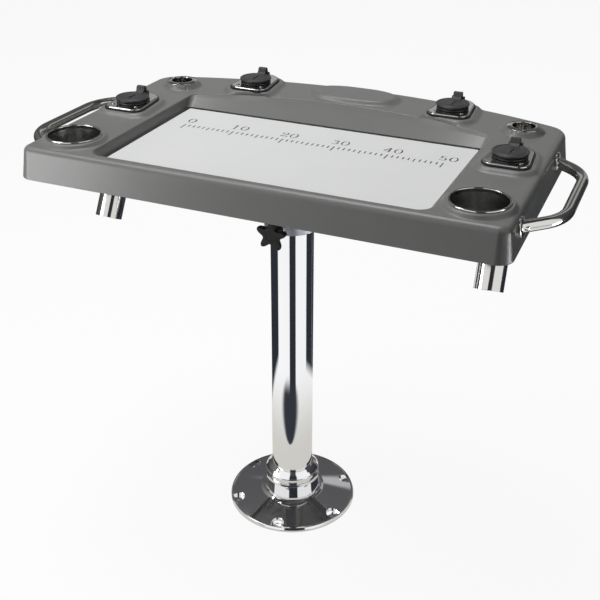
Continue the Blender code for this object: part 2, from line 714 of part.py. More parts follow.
def holder_places():
    """Names and places of the four rod holders."""
    return {
        "side_left": (-SIDE_HOLDER[0], SIDE_HOLDER[1]),
        "side_right": SIDE_HOLDER,
        "back_left": (-BACK_HOLDER[0], BACK_HOLDER[1]),
        "back_right": BACK_HOLDER,
    }


def tray_body(finish, parent):
    """Outer form of the tray with its rounded top edge, hollowed from below."""
    rings = [at_height(tray_outline(SKIRT_DRAFT), SKIRT_BOTTOM),
             at_height(tray_outline(), DECK - EDGE_ROUND)]
    for k in range(1, EDGE_STEPS + 1):
        turn = pi / 2.0 * k / EDGE_STEPS
        inset = EDGE_ROUND * (1.0 - cos(turn))
        rings.append(at_height(tray_outline(-inset), DECK - EDGE_ROUND * (1.0 - sin(turn))))
    tray = place("tray_shell", loft("tray_shell", rings), finish, parent=parent)
    inner = [at_height(tray_outline(SKIRT_DRAFT - TRAY_WALL), SKIRT_BOTTOM - TRAY_INSIDE_DROP),
             at_height(tray_outline(-TRAY_WALL), DECK_UNDERSIDE - EDGE_ROUND / 2.0),
             at_height(tray_outline(-TRAY_WALL - EDGE_ROUND / 2.0), DECK_UNDERSIDE)]
    combine(tray, "DIFFERENCE", loft("tray_inside", inner))
    return tray


def tray_pan(tray):
    """Sunk pan for the board: its outside joins the deck, then the recess is cut from above."""
    pocket = board_outline(BOARD_MARGIN)
    top = recess_top_outline()
    shell = [at_height(board_outline(BOARD_MARGIN + TRAY_WALL), PAN_UNDERSIDE),
             at_height(board_outline(BOARD_MARGIN + TRAY_WALL), PAN_UNDERSIDE + 0.004),
             at_height(between(board_outline(BOARD_MARGIN + TRAY_WALL),
                               recess_top_outline(TRAY_WALL), 0.93), DECK - 0.003)]
    combine(tray, "UNION", loft("pan_outside", shell))
    flare = recess_top_outline(RECESS_CREASE)
    cut = [at_height(pocket, PAN_FLOOR),
           at_height(pocket, BOARD_TOP + GAP),
           at_height(between(pocket, top, 0.74), DECK - 0.0045),
           at_height(top, DECK - 0.0010),
           at_height(flare, DECK + 0.0001),
           at_height(flare, DECK + 0.004)]
    combine(tray, "DIFFERENCE", loft("recess", cut))


def tray_ribs(tray):
    """Stiffening ribs below the pan, clear of the casting."""
    top = PAN_UNDERSIDE + 0.002
    bottom = PAN_UNDERSIDE - RIB_HEIGHT
    reach = BOARD_HALF - 0.004
    half = RIB_THICKNESS / 2.0
    for y in LONG_RIB_Y:
        combine(tray, "UNION", box("rib_long", (-reach, y - half, bottom), (reach, y + half, top)))
    for x in CROSS_RIB_X:
        low = (x - half, BOARD_FRONT + 0.004, bottom + 0.001)
        high = (x + half, BOARD_BACK - 0.004, top)
        combine(tray, "UNION", box("rib_cross", low, high))


def tray_holes(tray):
    """Openings for the cups, the ring holders, the slanted tubes and the bolts."""
    low = SKIRT_BOTTOM - CUT_BEYOND
    high = PAD_TOP + CUT_BEYOND
    for sign in (-1.0, 1.0):
        cup = [circle(cup_body_radius() + HOLE_CLEARANCE, height, CUP_STEPS,
                      (sign * CUP_CENTRE[0], CUP_CENTRE[1])) for height in (low, high)]
        combine(tray, "DIFFERENCE", loft("cup_hole", cup))
        ring = [circle(RING_BORE_RADIUS + RING_TUBE_WALL + HOLE_CLEARANCE, height, SMALL_STEPS,
                       (sign * RING_CENTRE[0], RING_CENTRE[1])) for height in (low, high)]
        combine(tray, "DIFFERENCE", loft("ring_hole", ring))
        for foot in handle_feet():
            hole = [across_x(HANDLE_BOLT_RADIUS + GAP, sign * (skirt_face(foot) + step), foot,
                             BOLT_STEPS) for step in (-0.012, 0.004)]
            combine(tray, "DIFFERENCE", loft("handle_hole", hole))
    for name, (x, y) in holder_places().items():
        bar = tilted_bar(f"holder_hole_{name}", HOLDER_RADIUS + HOLE_CLEARANCE, side_of(x),
                         CUT_BEYOND, SKIRT_DEPTH + CUT_BEYOND)
        combine(tray, "DIFFERENCE", bar, (x, y, FLANGE_TOP))
    for k in range(HUB_BOLT_COUNT):
        hole = [circle(HUB_BOLT_RADIUS + GAP, height, BOLT_STEPS, bolt_place(k))
                for height in (PAN_UNDERSIDE - 0.004, PAN_FLOOR + 0.004)]
        combine(tray, "DIFFERENCE", loft(f"pan_hole_{k}", hole))


def skirt_line(y):
    """Distance of the skirt's straight side from the middle plane, at the deck's level."""
    front_y = TRAY_FRONT + TRAY_FRONT_CORNER
    bow_centre = TRAY_BACK - TRAY_BACK_BOW
    corner_x = TRAY_BACK_HALF - TRAY_BACK_CORNER
    back_y = bow_centre + sqrt((TRAY_BACK_BOW - TRAY_BACK_CORNER) ** 2 - corner_x ** 2)
    share = (y - front_y) / (back_y - front_y)
    return TRAY_FRONT_HALF + (TRAY_BACK_HALF - TRAY_FRONT_HALF) * share


def skirt_face(y, level=HANDLE_LEVEL):
    """Distance of the skirt's outer face from the middle plane, at a depth and a level."""
    return skirt_line(y) + SKIRT_DRAFT * (DECK - EDGE_ROUND - level) / (SKIRT_DEPTH - EDGE_ROUND)


def skirt_inner_face(y, level=HANDLE_LEVEL):
    """Distance of the skirt's inner face from the middle plane, at a depth and a level."""
    top = DECK_UNDERSIDE - EDGE_ROUND / 2.0
    share = (top - level) / (top - SKIRT_BOTTOM + TRAY_INSIDE_DROP)
    return skirt_line(y) - TRAY_WALL + SKIRT_DRAFT * share


def build_board(finish, parent):
    """Cutting board with eased edges, lying in the recess."""
    rings = [at_height(board_outline(outset, 2), height)
             for height, outset in ((BOARD_BOTTOM, 0.0), (BOARD_TOP - BOARD_EDGE, 0.0),
                                    (BOARD_TOP, -BOARD_EDGE))]
    return place("cutting_board", loft("cutting_board", rings), finish, parent=parent)


def cup_body_radius():
    """Outer radius of a drink holder just under its rim."""
    return CUP_MOUTH_RADIUS + CUP_WALL - 0.001


def cup_mesh():
    """Spun drink holder: rolled rim, thin tapered wall and a rounded floor."""
    rim_bottom = PAD_TOP + GAP
    rim_top = rim_bottom + CUP_RIM_HEIGHT
    floor = rim_top - CUP_DEPTH
    outer = cup_body_radius()
    foot = CUP_FOOT_RADIUS
    profile = [
        (0.0, floor),
        (foot - 0.004, floor),
        (foot, floor + 0.004),
        (outer, rim_bottom),
        (CUP_RIM_RADIUS, rim_bottom),
        (CUP_RIM_RADIUS - 0.0008, rim_top),
        (CUP_MOUTH_RADIUS + 0.0006, rim_top),
        (CUP_MOUTH_RADIUS - 0.001, rim_bottom - 0.003),
        (foot - CUP_WALL, floor + 0.005),
        (foot - 0.005, floor + CUP_WALL),
        (0.0, floor + CUP_WALL),
    ]
    return lathe("cup", profile, CUP_STEPS)


def ring_mesh():
    """Small flanged tube, open at both ends."""
    bottom = DECK + RING_PAD_HEIGHT + GAP
    top = bottom + RING_FLANGE_THICKNESS
    outer = RING_BORE_RADIUS + RING_TUBE_WALL
    profile = [
        (RING_BORE_RADIUS, top - RING_TUBE_LENGTH),
        (outer, top - RING_TUBE_LENGTH),
        (outer, bottom),
        (RING_FLANGE_RADIUS, bottom),
        (RING_FLANGE_RADIUS, top - 0.0012),
        (RING_FLANGE_RADIUS - 0.0015, top),
        (RING_BORE_RADIUS, top),
    ]
    return lathe("ring_holder", profile, SMALL_STEPS)


def gasket_mesh():
    """Flat gasket with a clear hole for the slanted tube, in the holder's own frame."""
    outer = flange_outline(GASKET_MARGIN)
    bottom = GASKET_BOTTOM - FLANGE_TOP
    top = bottom + GASKET_THICKNESS
    return loft("rod_gasket", [at_height(outer, bottom), at_height(outer, top)])


def holder_mesh():
    """Shield flange of a rod holder, in the holder's own frame: origin on the flange's top."""
    outer = flange_outline()
    eased = flange_outline(-0.0012)
    return loft("rod_holder", [at_height(outer, -FLANGE_THICKNESS), at_height(outer, -0.0010),
                               at_height(eased, 0.0)])


def liner_rings(level):
    """Round rim that lies on the flange."""
    return [circle(LINER_RIM_RADIUS, GAP, SMALL_STEPS),
            circle(LINER_RIM_RADIUS, GAP + level - 0.001, SMALL_STEPS),
            circle(LINER_RIM_RADIUS - 0.001, GAP + level, SMALL_STEPS)]


def hinge_ring(radius, steps):
    """Ring in the Y-Z plane round the cap's hinge, in the holder's own frame."""
    level = HINGE_LEVEL - FLANGE_TOP
    return [(HINGE_OFFSET + radius * cos(2.0 * pi * k / steps),
             level + radius * sin(2.0 * pi * k / steps)) for k in range(steps)]


def along_x(ring_of_y_z, offset):
    """Stand a flat outline in the plane at the given sideways offset."""
    return [(offset, y, z) for y, z in ring_of_y_z]


def build_holder(name, centre, finishes, parent):
    """Gasket, flanged tube, liner with hinge ears, and the flip-up cap of one rod holder."""
    here = (centre[0], centre[1], FLANGE_TOP)
    gasket = place(f"rod_gasket_{name}", gasket_mesh(), finishes["rubber"], here, parent)
    side = side_of(centre[0])
    hole = tilted_bar("gasket_hole", HOLDER_RADIUS + HOLE_CLEARANCE, side, CUT_BEYOND,
                      HOLDER_RADIUS + CUT_BEYOND)
    combine(gasket, "DIFFERENCE", hole, here)
    holder = place(f"rod_holder_{name}", holder_mesh(), finishes["steel"], here, parent)
    tube = tilted_bar("holder_tube", HOLDER_RADIUS, side, -0.0015, HOLDER_LENGTH)
    combine(holder, "UNION", tube, here)
    bore = tilted_bar("holder_bore", HOLDER_RADIUS - HOLDER_WALL, side, CUT_BEYOND,
                      HOLDER_LENGTH + CUT_BEYOND)
    combine(holder, "DIFFERENCE", bore, here)

    liner = place(f"rod_liner_{name}", loft("rod_liner", liner_rings(LINER_RIM_THICKNESS)),
                  finishes["plastic"], here, parent)
    combine(liner, "UNION", tilted_bar("liner_tube", LINER_OUTER, side, 0.0012, LINER_LENGTH),
            here)
    ear_inner = TAB_WIDTH / 2.0 + GAP
    level = HINGE_LEVEL - FLANGE_TOP
    barrel = HINGE_BARREL_RADIUS
    ear_low = GAP + 0.0005
    ear_foot = RIM_TOP - FLANGE_TOP - 0.0005
    ear = [(LINER_RIM_RADIUS - EAR_OVERLAP, ear_low), (HINGE_OFFSET + barrel, ear_low)]
    ear += [(HINGE_OFFSET + barrel * cos(turn), level + barrel * sin(turn))
            for turn in (0.0, pi / 3.0, 2.0 * pi / 3.0, pi)]
    ear += [(HINGE_OFFSET - barrel, ear_foot), (LINER_RIM_RADIUS - EAR_OVERLAP, ear_foot)]
    for sign in (-1.0, 1.0):
        sides = [along_x(ear, sign * (ear_inner + depth)) for depth in (0.0, EAR_THICKNESS)]
        combine(liner, "UNION", loft("hinge_ear", sides), here)
    reach = ear_inner + EAR_THICKNESS / 2.0
    pin = [along_x(hinge_ring(HINGE_PIN_RADIUS, PIN_STEPS), x) for x in (-reach, reach)]
    combine(liner, "UNION", loft("hinge_pin", pin), here)
    liner_bore = tilted_bar("liner_bore", LINER_INNER, side, CUT_BEYOND,
                            LINER_LENGTH + CUT_BEYOND)
    combine(liner, "DIFFERENCE", liner_bore, here)

    axis = pivot(f"cap_hinge_{name}", (centre[0], centre[1] + HINGE_OFFSET, HINGE_LEVEL), parent)
    back = (0.0, -HINGE_OFFSET, -level)
    foot = CAP_BOTTOM - FLANGE_TOP
    top = foot + CAP_THICKNESS
    profile = [
        (0.0, foot - CAP_PLUG_DEPTH),
        (CAP_PLUG_RADIUS, foot - CAP_PLUG_DEPTH),
        (CAP_PLUG_RADIUS, foot),
        (CAP_FOOT_RADIUS, foot),
        (CAP_RADIUS, foot + 0.0045),
        (CAP_RADIUS - 0.0005, top - 0.0015),
        (CAP_RADIUS - 0.0025, top),
        (0.0, top + CAP_CROWN),
    ]
    cap = place(f"rod_cap_{name}", lathe("rod_cap", profile, SMALL_STEPS),
                finishes["plastic"], back, axis)
    front = HINGE_OFFSET - TAB_THICKNESS
    strap = [(front - 0.006, foot + 0.004), (HINGE_OFFSET - 0.001, foot + 0.004)]
    strap += [(HINGE_OFFSET + barrel * cos(turn), level + barrel * sin(turn))
              for turn in (-pi / 2.0, -pi / 4.0, 0.0)]
    strap += [(HINGE_OFFSET + barrel * 0.4, top + TAB_RISE - 0.003),
              (HINGE_OFFSET, top + TAB_RISE),
              (front + 0.002, top + TAB_RISE),
              (front, top + TAB_RISE - 0.002),
              (front - 0.003, top)]
    sides = [along_x(strap, x) for x in (-TAB_WIDTH / 2.0, TAB_WIDTH / 2.0)]
    add_local(cap, "UNION", loft("cap_strap", sides))
    hole = [along_x(hinge_ring(HINGE_PIN_RADIUS + HINGE_CLEARANCE, PIN_STEPS), x)
            for x in (-TAB_WIDTH, TAB_WIDTH)]
    add_local(cap, "DIFFERENCE", loft("pin_hole", hole))


def add_local(target, operation, mesh):
    """Cut or add a mesh that shares the target's own frame."""
    combine(target, operation, mesh, target.location)


def handle_feet():
    """Depths of a handle's two feet."""
    return (HANDLE_FRONT_FOOT, HANDLE_BACK_FOOT)


def handle_path(sign):
    """Centre line of one handle: two slanting legs, two bends and a straight grip."""
    feet = [Vector((skirt_face(y) + GAP, y)) for y in handle_feet()]
    corners = [Vector((skirt_line(y) + HANDLE_REACH, y))
               for y in (HANDLE_FRONT_BEND, HANDLE_BACK_BEND)]
    line = [feet[0]]
    for before, corner, after in ((feet[0], corners[0], corners[1]),
                                  (corners[0], corners[1], feet[1])):
        arriving = (corner - before).normalized()
        leaving = (after - corner).normalized()
        bend = acos(max(-1.0, min(1.0, arriving.dot(leaving))))
        cutback = HANDLE_BEND_RADIUS * tan(bend / 2.0)
        normal = Vector((-arriving.y, arriving.x))
        centre = corner - arriving * cutback + normal * HANDLE_BEND_RADIUS
        start = atan2(-normal.y, -normal.x)
        steps = 5
        line += [centre + Vector((cos(start + bend * k / steps), sin(start + bend * k / steps)))
                 * HANDLE_BEND_RADIUS for k in range(steps + 1)]
    line.append(feet[1])
    return [Vector((sign * point.x, point.y, HANDLE_LEVEL)) for point in line]


def build_handle(side, sign, finishes, parent):
    """Bent grab handle with a ferrule ring at each foot and bolts from inside the skirt."""
    path = handle_path(sign)
    steps = 12
    rings = []
    for index, point in enumerate(path):
        before = path[max(index - 1, 0)]
        after = path[min(index + 1, len(path) - 1)]
        run = (after - before).normalized()
        across = Vector((run.y, -run.x, 0.0))
        stretch = 1.0
        if index in (0, len(path) - 1):
            across = Vector((0.0, 1.0, 0.0)) * (1.0 if across.y > 0.0 else -1.0)
            stretch = 1.0 / abs(run.x)
        ring = []
        for k in range(steps):
            turn = 2.0 * pi * k / steps
            offset = across * (HANDLE_RADIUS * stretch * cos(turn))
            ring.append(tuple(point + offset + Vector((0.0, 0.0, HANDLE_RADIUS * sin(turn)))))
        if index in (0, len(path) - 1):
            ring = on_skirt(ring, sign, run.y / abs(run.x) * (1.0 if index == 0 else -1.0))
        rings.append(ring)
    handle = place(f"handle_{side}", loft("handle", rings), finishes["steel"], parent=parent)
    for end, foot in zip(("front", "back"), handle_feet()):
        face = skirt_face(foot)
        socket = [across_x(HANDLE_BOLT_RADIUS + GAP, sign * x, foot, BOLT_STEPS)
                  for x in (face - 0.002, face + HANDLE_BOLT_GRIP + GAP)]
        combine(handle, "DIFFERENCE", loft("bolt_socket", socket))
        build_ferrule(f"handle_ferrule_{side}_{end}", sign, foot, finishes["steel"], parent)
        build_handle_bolt(f"handle_bolt_{side}_{end}", sign, foot, finishes["steel"], parent)


def across_x(radius, x, y, steps):
    """Ring round a line along X at the handles' level; its stretch along Y may differ."""
    return [(x, y + radius * cos(2.0 * pi * k / steps),
             HANDLE_LEVEL + radius * sin(2.0 * pi * k / steps)) for k in range(steps)]


def build_ferrule(name, sign, foot, finish, parent):
    """Ring round one foot of a handle, seated on the skirt and bored along the slanted leg."""
    slant = leg_slope(foot)
    near = skirt_face(foot) + GAP
    far = near + FERRULE_LENGTH
    middle = foot + slant * FERRULE_LENGTH / 2.0
    bore = HANDLE_RADIUS + GAP
    stretch = sqrt(1.0 + slant * slant)
    rings = [on_skirt(across_x(FERRULE_RADIUS, near, middle, FERRULE_STEPS), sign),
             across_x(FERRULE_RADIUS - 0.001, sign * far, middle, FERRULE_STEPS)]
    bores = []
    for x, y in ((far, foot + slant * FERRULE_LENGTH), (near, foot)):
        bores.append([(sign * x, y + (point_y - y) * stretch, z)
                      for _, point_y, z in across_x(bore, x, y, FERRULE_STEPS)])
    rings += [bores[0], on_skirt(bores[1], sign, slant)]
    place(name, loft("handle_ferrule", rings, closed=True), finish, parent=parent)


def on_skirt(ring, sign, slant=0.0):
    """Slide a ring's points along a leg until they stand just off the skirt's outer face."""
    seated = []
    for x, y, z in ring:
        shift = skirt_face(y, z) + GAP - abs(x)
        seated.append((sign * (abs(x) + shift), y + slant * shift, z))
    return seated


def leg_slope(foot):
    """Run of a leg along Y for each unit that it stands out from the skirt."""
    bend = HANDLE_FRONT_BEND if foot == HANDLE_FRONT_FOOT else HANDLE_BACK_BEND
    return (bend - foot) / (skirt_line(bend) + HANDLE_REACH - skirt_face(foot) - GAP)


def build_handle_bolt(name, sign, foot, finish, parent):
    """Bolt through the skirt into a handle's foot, its head inside the tray."""
    end = skirt_face(foot) + HANDLE_BOLT_GRIP - GAP
    back = skirt_inner_face(foot) - HANDLE_BOLT_HEAD_HEIGHT
    head = HANDLE_BOLT_HEAD_RADIUS
    seats = [[(sign * (skirt_inner_face(y, z) - GAP), y, z)
              for _, y, z in across_x(radius, 0.0, foot, BOLT_STEPS)]
             for radius in (head, HANDLE_BOLT_RADIUS)]
    rings = [across_x(head, sign * back, foot, BOLT_STEPS), *seats,
             across_x(HANDLE_BOLT_RADIUS, sign * end, foot, BOLT_STEPS)]
    place(name, loft("handle_bolt", rings), finish, parent=parent)


def build():
    """Build the whole table."""
    clear_scene()
    finishes = {
        "steel": material("polished_stainless", (0.62, 0.62, 0.63), 0.12, 1.0),
        "aluminium": material("polished_aluminium", (0.72, 0.73, 0.75), 0.10, 1.0),
        "cast": material("cast_aluminium", (0.45, 0.46, 0.48), 0.45, 1.0),
        "grey": material("grey_moulded_plastic", (0.16, 0.16, 0.155), 0.50),
        "board": material("white_board", (0.72, 0.72, 0.71), 0.45),
        "plastic": material("black_plastic", (0.045, 0.045, 0.047), 0.45),
        "rubber": material("black_rubber", (0.02, 0.02, 0.02), 0.70),
        "nylon": material("white_nylon", (0.70, 0.70, 0.68), 0.50),
    }
    build_base(finishes["aluminium"])
    build_collar_ring(finishes["aluminium"])
    build_post(finishes["aluminium"])
    lift = pivot("tray_lift_axis", (0.0, 0.0, 0.0))
    build_bush(finishes["nylon"], lift)
    swivel = pivot("tray_swivel_axis", (0.0, 0.0, 0.0), lift)
    build_hub(finishes["cast"], swivel)
    build_hub_bolts(finishes["steel"], swivel)
    knob_axis = pivot("knob_axis", (0.0, 0.0, KNOB_LEVEL), swivel)
    build_knob(finishes["plastic"], finishes["steel"], knob_axis)
    tray = tray_body(finishes["grey"], swivel)
    tray_pads(tray)
    tray_pan(tray)
    tray_ribs(tray)
    tray_holes(tray)
    build_board(finishes["board"], swivel)
    for name, centre in holder_places().items():
        build_holder(name, centre, finishes, swivel)
    for side, sign in (("left", -1.0), ("right", 1.0)):
        place(f"cup_{side}", cup_mesh(), finishes["steel"],
              (sign * CUP_CENTRE[0], CUP_CENTRE[1], 0.0), swivel)
        place(f"ring_holder_{side}", ring_mesh(), finishes["steel"],
              (sign * RING_CENTRE[0], RING_CENTRE[1], 0.0), swivel)
        build_handle(side, sign, finishes, swivel)


build()
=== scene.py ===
"""Bait and tackle table on a pedestal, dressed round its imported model.

Every size is in metres in the model's own frame: X to the right, Y to the back, Z up, and the
origin on the floor under the post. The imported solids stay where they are, and finer surfaces,
worked out with numpy, stand for them.
"""

import logging
from dataclasses import dataclass
from enum import Enum
from math import asin, atan2, cos, hypot, pi, radians, sin, sqrt

import bpy
import numpy as np
from mathutils import Matrix, Vector


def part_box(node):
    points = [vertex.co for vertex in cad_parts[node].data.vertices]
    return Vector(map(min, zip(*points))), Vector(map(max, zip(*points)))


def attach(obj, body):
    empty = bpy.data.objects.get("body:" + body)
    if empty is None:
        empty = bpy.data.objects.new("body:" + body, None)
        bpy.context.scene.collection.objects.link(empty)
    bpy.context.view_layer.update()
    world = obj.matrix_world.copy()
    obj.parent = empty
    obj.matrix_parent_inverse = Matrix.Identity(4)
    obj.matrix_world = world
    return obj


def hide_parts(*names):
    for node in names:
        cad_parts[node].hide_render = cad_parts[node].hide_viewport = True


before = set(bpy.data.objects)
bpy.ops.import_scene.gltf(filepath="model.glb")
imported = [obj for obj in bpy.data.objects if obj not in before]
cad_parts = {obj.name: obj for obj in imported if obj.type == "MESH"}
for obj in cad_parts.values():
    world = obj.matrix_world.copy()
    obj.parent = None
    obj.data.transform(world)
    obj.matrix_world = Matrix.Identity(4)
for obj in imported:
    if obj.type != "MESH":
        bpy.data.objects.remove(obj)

LOG = logging.getLogger("table")
Array = np.ndarray
Point = tuple[float, float, float]
Rings = list[Array]

MILLIMETRE = 0.001
# Clearance between neighbouring pieces.
GAP = 0.0003
SHARP_ANGLE = radians(32.0)
BEVEL_ANGLE = radians(50.0)
QUARTER_TURN = pi / 2.0
FULL_TURN = 2.0 * pi


class Side(Enum):
    """The two ends of the table, as signs along X."""

    LEFT = -1.0
    RIGHT = 1.0

    @property
    def word(self) -> str:
        """Return the side's name as the nodes spell it."""
        return self.name.lower()

    def place(self, spot: tuple[float, float]) -> tuple[float, float]:
        """Return a plan point of the right half, mirrored for the left."""
        return self.value * spot[0], spot[1]


# Surfaces worked out as arrays


@dataclass(frozen=True)
class Surface:
    """One closed surface: points, four-sided faces and flat end faces."""

    points: Array
    quads: Array
    caps: tuple[Array, ...] = ()

    def volume(self) -> float:
        """Return the signed volume: six times it is the sum of a . (b x c) over triangles.

        Returns:
            The volume, below zero where the faces point in.
        """
        a, b, c, d = (self.points[self.quads[:, k]] for k in range(4))
        total = np.einsum("ij,ij->", a, np.cross(b, c)) + np.einsum("ij,ij->", a, np.cross(c, d))
        for cap in self.caps:
            ring = self.points[cap]
            total += np.einsum("j,ij->", ring[0], np.cross(ring[1:-1], ring[2:]))
        return float(total) / 6.0

    def outward(self) -> "Surface":
        """Return the surface with every face pointing out.

        Returns:
            This surface, or a copy with its faces turned.
        """
        if self.volume() >= 0.0:
            return self
        return Surface(self.points, self.quads[:, ::-1], tuple(cap[::-1] for cap in self.caps))

    def moved(self, matrix: Matrix) -> "Surface":
        """Return the surface carried by a 4 x 4 matrix."""
        full = np.array(matrix, float)
        return Surface(self.points @ full[:3, :3].T + full[:3, 3], self.quads, self.caps).outward()


def grid(points: Array, wrap_rows: bool = False) -> Surface:
    """Join a grid of points whose columns close round into a surface.

    Args:
        points: Rows x columns x 3.
        wrap_rows: Join the last row to the first instead of closing both with flat faces.

    Returns:
        The closed surface, faces outwards.
    """
    rows, columns = points.shape[:2]
    index = np.arange(rows * columns).reshape(rows, columns)
    low = index if wrap_rows else index[:-1]
    high = np.roll(index, -1, axis=0) if wrap_rows else index[1:]
    quads = np.stack([low, np.roll(low, -1, axis=1), np.roll(high, -1, axis=1), high], axis=-1)
    caps = () if wrap_rows else (index[0, ::-1], index[-1])
    return Surface(points.reshape(-1, 3), quads.reshape(-1, 4), caps).outward()


def level(outline: Array, height: float | Array) -> Array:
    """Lay a plan outline at one height, or at a height for each of its points."""
    return np.column_stack([outline, np.broadcast_to(height, len(outline))])


def stacked(rings: Rings, wrap_rows: bool = False) -> Surface:
    """Join rings of equal length into a surface."""
    return grid(np.stack(rings), wrap_rows)


def arc(centre: tuple[float, float], radius: float, start: float, end: float,
        steps: int) -> Array:
    """Points on an arc, both ends included: centre + radius (cos t, sin t)."""
    turn = np.linspace(start, end, steps + 1)
    return np.column_stack([centre[0] + radius * np.cos(turn), centre[1] + radius * np.sin(turn)])


def line(start: Array, end: Array, steps: int) -> Array:
    """Points of a straight run without its ends."""
    share = np.linspace(0.0, 1.0, steps + 1)[1:-1, None]
    return start + (end - start) * share


def turns(steps: int) -> Array:
    """Angles of one even turn, its end left out."""
    return np.linspace(0.0, FULL_TURN, steps, endpoint=False)


def circle(radius: float, steps: int, centre: tuple[float, float] = (0.0, 0.0)) -> Array:
    """One turn of points round a centre, its end left out."""
    return arc(centre, radius, 0.0, FULL_TURN, steps)[:-1]


def rounded(corners: list[tuple[float, float]], radii: list[float], steps: int = 5,
            closed: bool = False) -> Array:
    """Turn a broken line's corners into arcs.

    A corner with unit arms a and b and half angle h gets an arc of radius r whose ends lie
    r / tan h along the arms and whose centre lies r / sin h along a + b.

    Args:
        corners: The broken line's points.
        radii: One radius for each point; zero keeps it sharp.
        steps: Steps of each arc.
        closed: The line closes, so its ends are corners too.

    Returns:
        The rounded line as points.
    """
    points = np.array(corners, float)
    count = len(points)
    made = []
    for k, radius in enumerate(radii):
        inner = closed or 0 < k < count - 1
        if radius <= 0.0 or not inner:
            made.append(points[k][None])
            continue
        a = points[k - 1] - points[k]
        b = points[(k + 1) % count] - points[k]
        a, b = a / np.linalg.norm(a), b / np.linalg.norm(b)
        half = np.arccos(np.clip(a @ b, -1.0, 1.0)) / 2.0
        middle = points[k] + (a + b) / np.linalg.norm(a + b) * radius / np.sin(half)
        first = points[k] + a * radius / np.tan(half) - middle
        last = points[k] + b * radius / np.tan(half) - middle
        turn = pi - 2.0 * half
        share = np.linspace(0.0, 1.0, steps + 1)[:, None]
        made.append(middle + (np.sin((1.0 - share) * turn) * first + np.sin(share * turn) * last)
                    / np.sin(turn))
    return np.concatenate(made)


def turned(profile: Array, steps: int, centre: tuple[float, float] = (0.0, 0.0),
           closed: bool = False) -> Surface:
    """Turn a profile of (radius, height) about a vertical axis.

    The point at profile share v and angle u is (r(v) cos u, r(v) sin u, z(v)). An open profile
    starts and ends in a flat face, so its end radii are small but not zero.

    Args:
        profile: Radius and height of each point.
        steps: Steps of the turn.
        centre: Place of the axis.
        closed: The profile is a closed loop.

    Returns:
        The turned surface.
    """
    turn = turns(steps)
    radius, height = profile[:, 0, None], profile[:, 1, None]
    points = np.stack([centre[0] + radius * np.cos(turn), centre[1] + radius * np.sin(turn),
                       np.broadcast_to(height, (len(profile), steps))], axis=-1)
    return grid(points, closed)


def swept(path: Array, radius: float | Array, sides: int, up: Point = (0.0, 0.0, 1.0)) -> Surface:
    """Carry a circle along a flat path.

    The point at path share v and angle u is p(v) + r(v) (cos u . across(v) + sin u . up), where
    across is the direction of travel crossed with up.

    Args:
        path: Centre line as points.
        radius: One radius, or one for each point.
        sides: Sides of the circle.
        up: Normal of the plane that the path lies in.

    Returns:
        The tube with flat ends.
    """
    ahead = np.gradient(path, axis=0)
    ahead /= np.linalg.norm(ahead, axis=1)[:, None]
    across = np.cross(ahead, up)
    turn = turns(sides)
    spoke = (np.cos(turn)[None, :, None] * across[:, None]
             + np.sin(turn)[None, :, None] * np.array(up))
    reach = np.broadcast_to(radius, len(path))[:, None, None]
    return grid(path[:, None] + reach * spoke)


def eased(low: float, high: float, edge: float, steps: int) -> list[tuple[float, float]]:
    """Round both ends of a block of rings off by quarter circles.

    Args:
        low: Where the first ring stands.
        high: Where the last ring stands.
        edge: Radius of the rounding.
        steps: Rings of each quarter.

    Returns:
        The inset and the place of each ring.
    """
    quarter = [(edge * (1.0 - sin(turn)), edge * (1.0 - cos(turn)))
               for turn in np.linspace(0.0, QUARTER_TURN, steps)]
    return ([(inset, low + rise) for inset, rise in quarter]
            + [(inset, high - rise) for inset, rise in reversed(quarter)])


def prism(outline: Array, low: float, high: float, axis: int) -> Surface:
    """Draw a flat outline out along one axis.

    Args:
        outline: Points in the plane of the other two axes, in their own order.
        low: Start along the axis.
        high: End along the axis.
        axis: 0 for X, 1 for Y and 2 for Z.

    Returns:
        The closed block.
    """
    return stacked([np.insert(outline, axis, place, axis=1) for place in (low, high)])


def boxes(lows: Array, highs: Array) -> Surface:
    """Make one block for each pair of corners: eight points and six faces apiece.

    Args:
        lows: One corner per row.
        highs: The opposite corners.

    Returns:
        All blocks as one surface.
    """
    pick = np.array([[0, 0, 0], [1, 0, 0], [1, 1, 0], [0, 1, 0],
                     [0, 0, 1], [1, 0, 1], [1, 1, 1], [0, 1, 1]])
    faces = np.array([[3, 2, 1, 0], [4, 5, 6, 7], [0, 1, 5, 4], [1, 2, 6, 5], [2, 3, 7, 6],
                      [3, 0, 4, 7]])
    points = lows[:, None] + (highs - lows)[:, None] * pick[None]
    quads = faces[None] + 8 * np.arange(len(lows))[:, None, None]
    return Surface(points.reshape(-1, 3), quads.reshape(-1, 4))


def mesh_from(name: str, surfaces: list[Surface]) -> bpy.types.Mesh:
    """Put surfaces into one mesh, shaded smooth up to a sharp angle.

    Args:
        name: The mesh's name.
        surfaces: What goes into it.

    Returns:
        The mesh.
    """
    points, faces, offset = [], [], 0
    for surface in surfaces:
        points.append(surface.points)
        faces += (surface.quads + offset).tolist()
        faces += [(cap + offset).tolist() for cap in surface.caps]
        offset += len(surface.points)
    mesh = bpy.data.meshes.new(name)
    mesh.from_pydata(np.concatenate(points), [], faces)
    mesh.update()
    mesh.shade_smooth()
    mesh.set_sharp_from_angle(angle=SHARP_ANGLE)
    return mesh


def linked(name: str, data: bpy.types.ID) -> bpy.types.Object:
    """Make an object and put it into the scene.

    Args:
        name: The object's name.
        data: Its mesh, lamp or camera.

    Returns:
        The object.
    """
    item = bpy.data.objects.new(name, data)
    bpy.context.collection.objects.link(item)
    return item


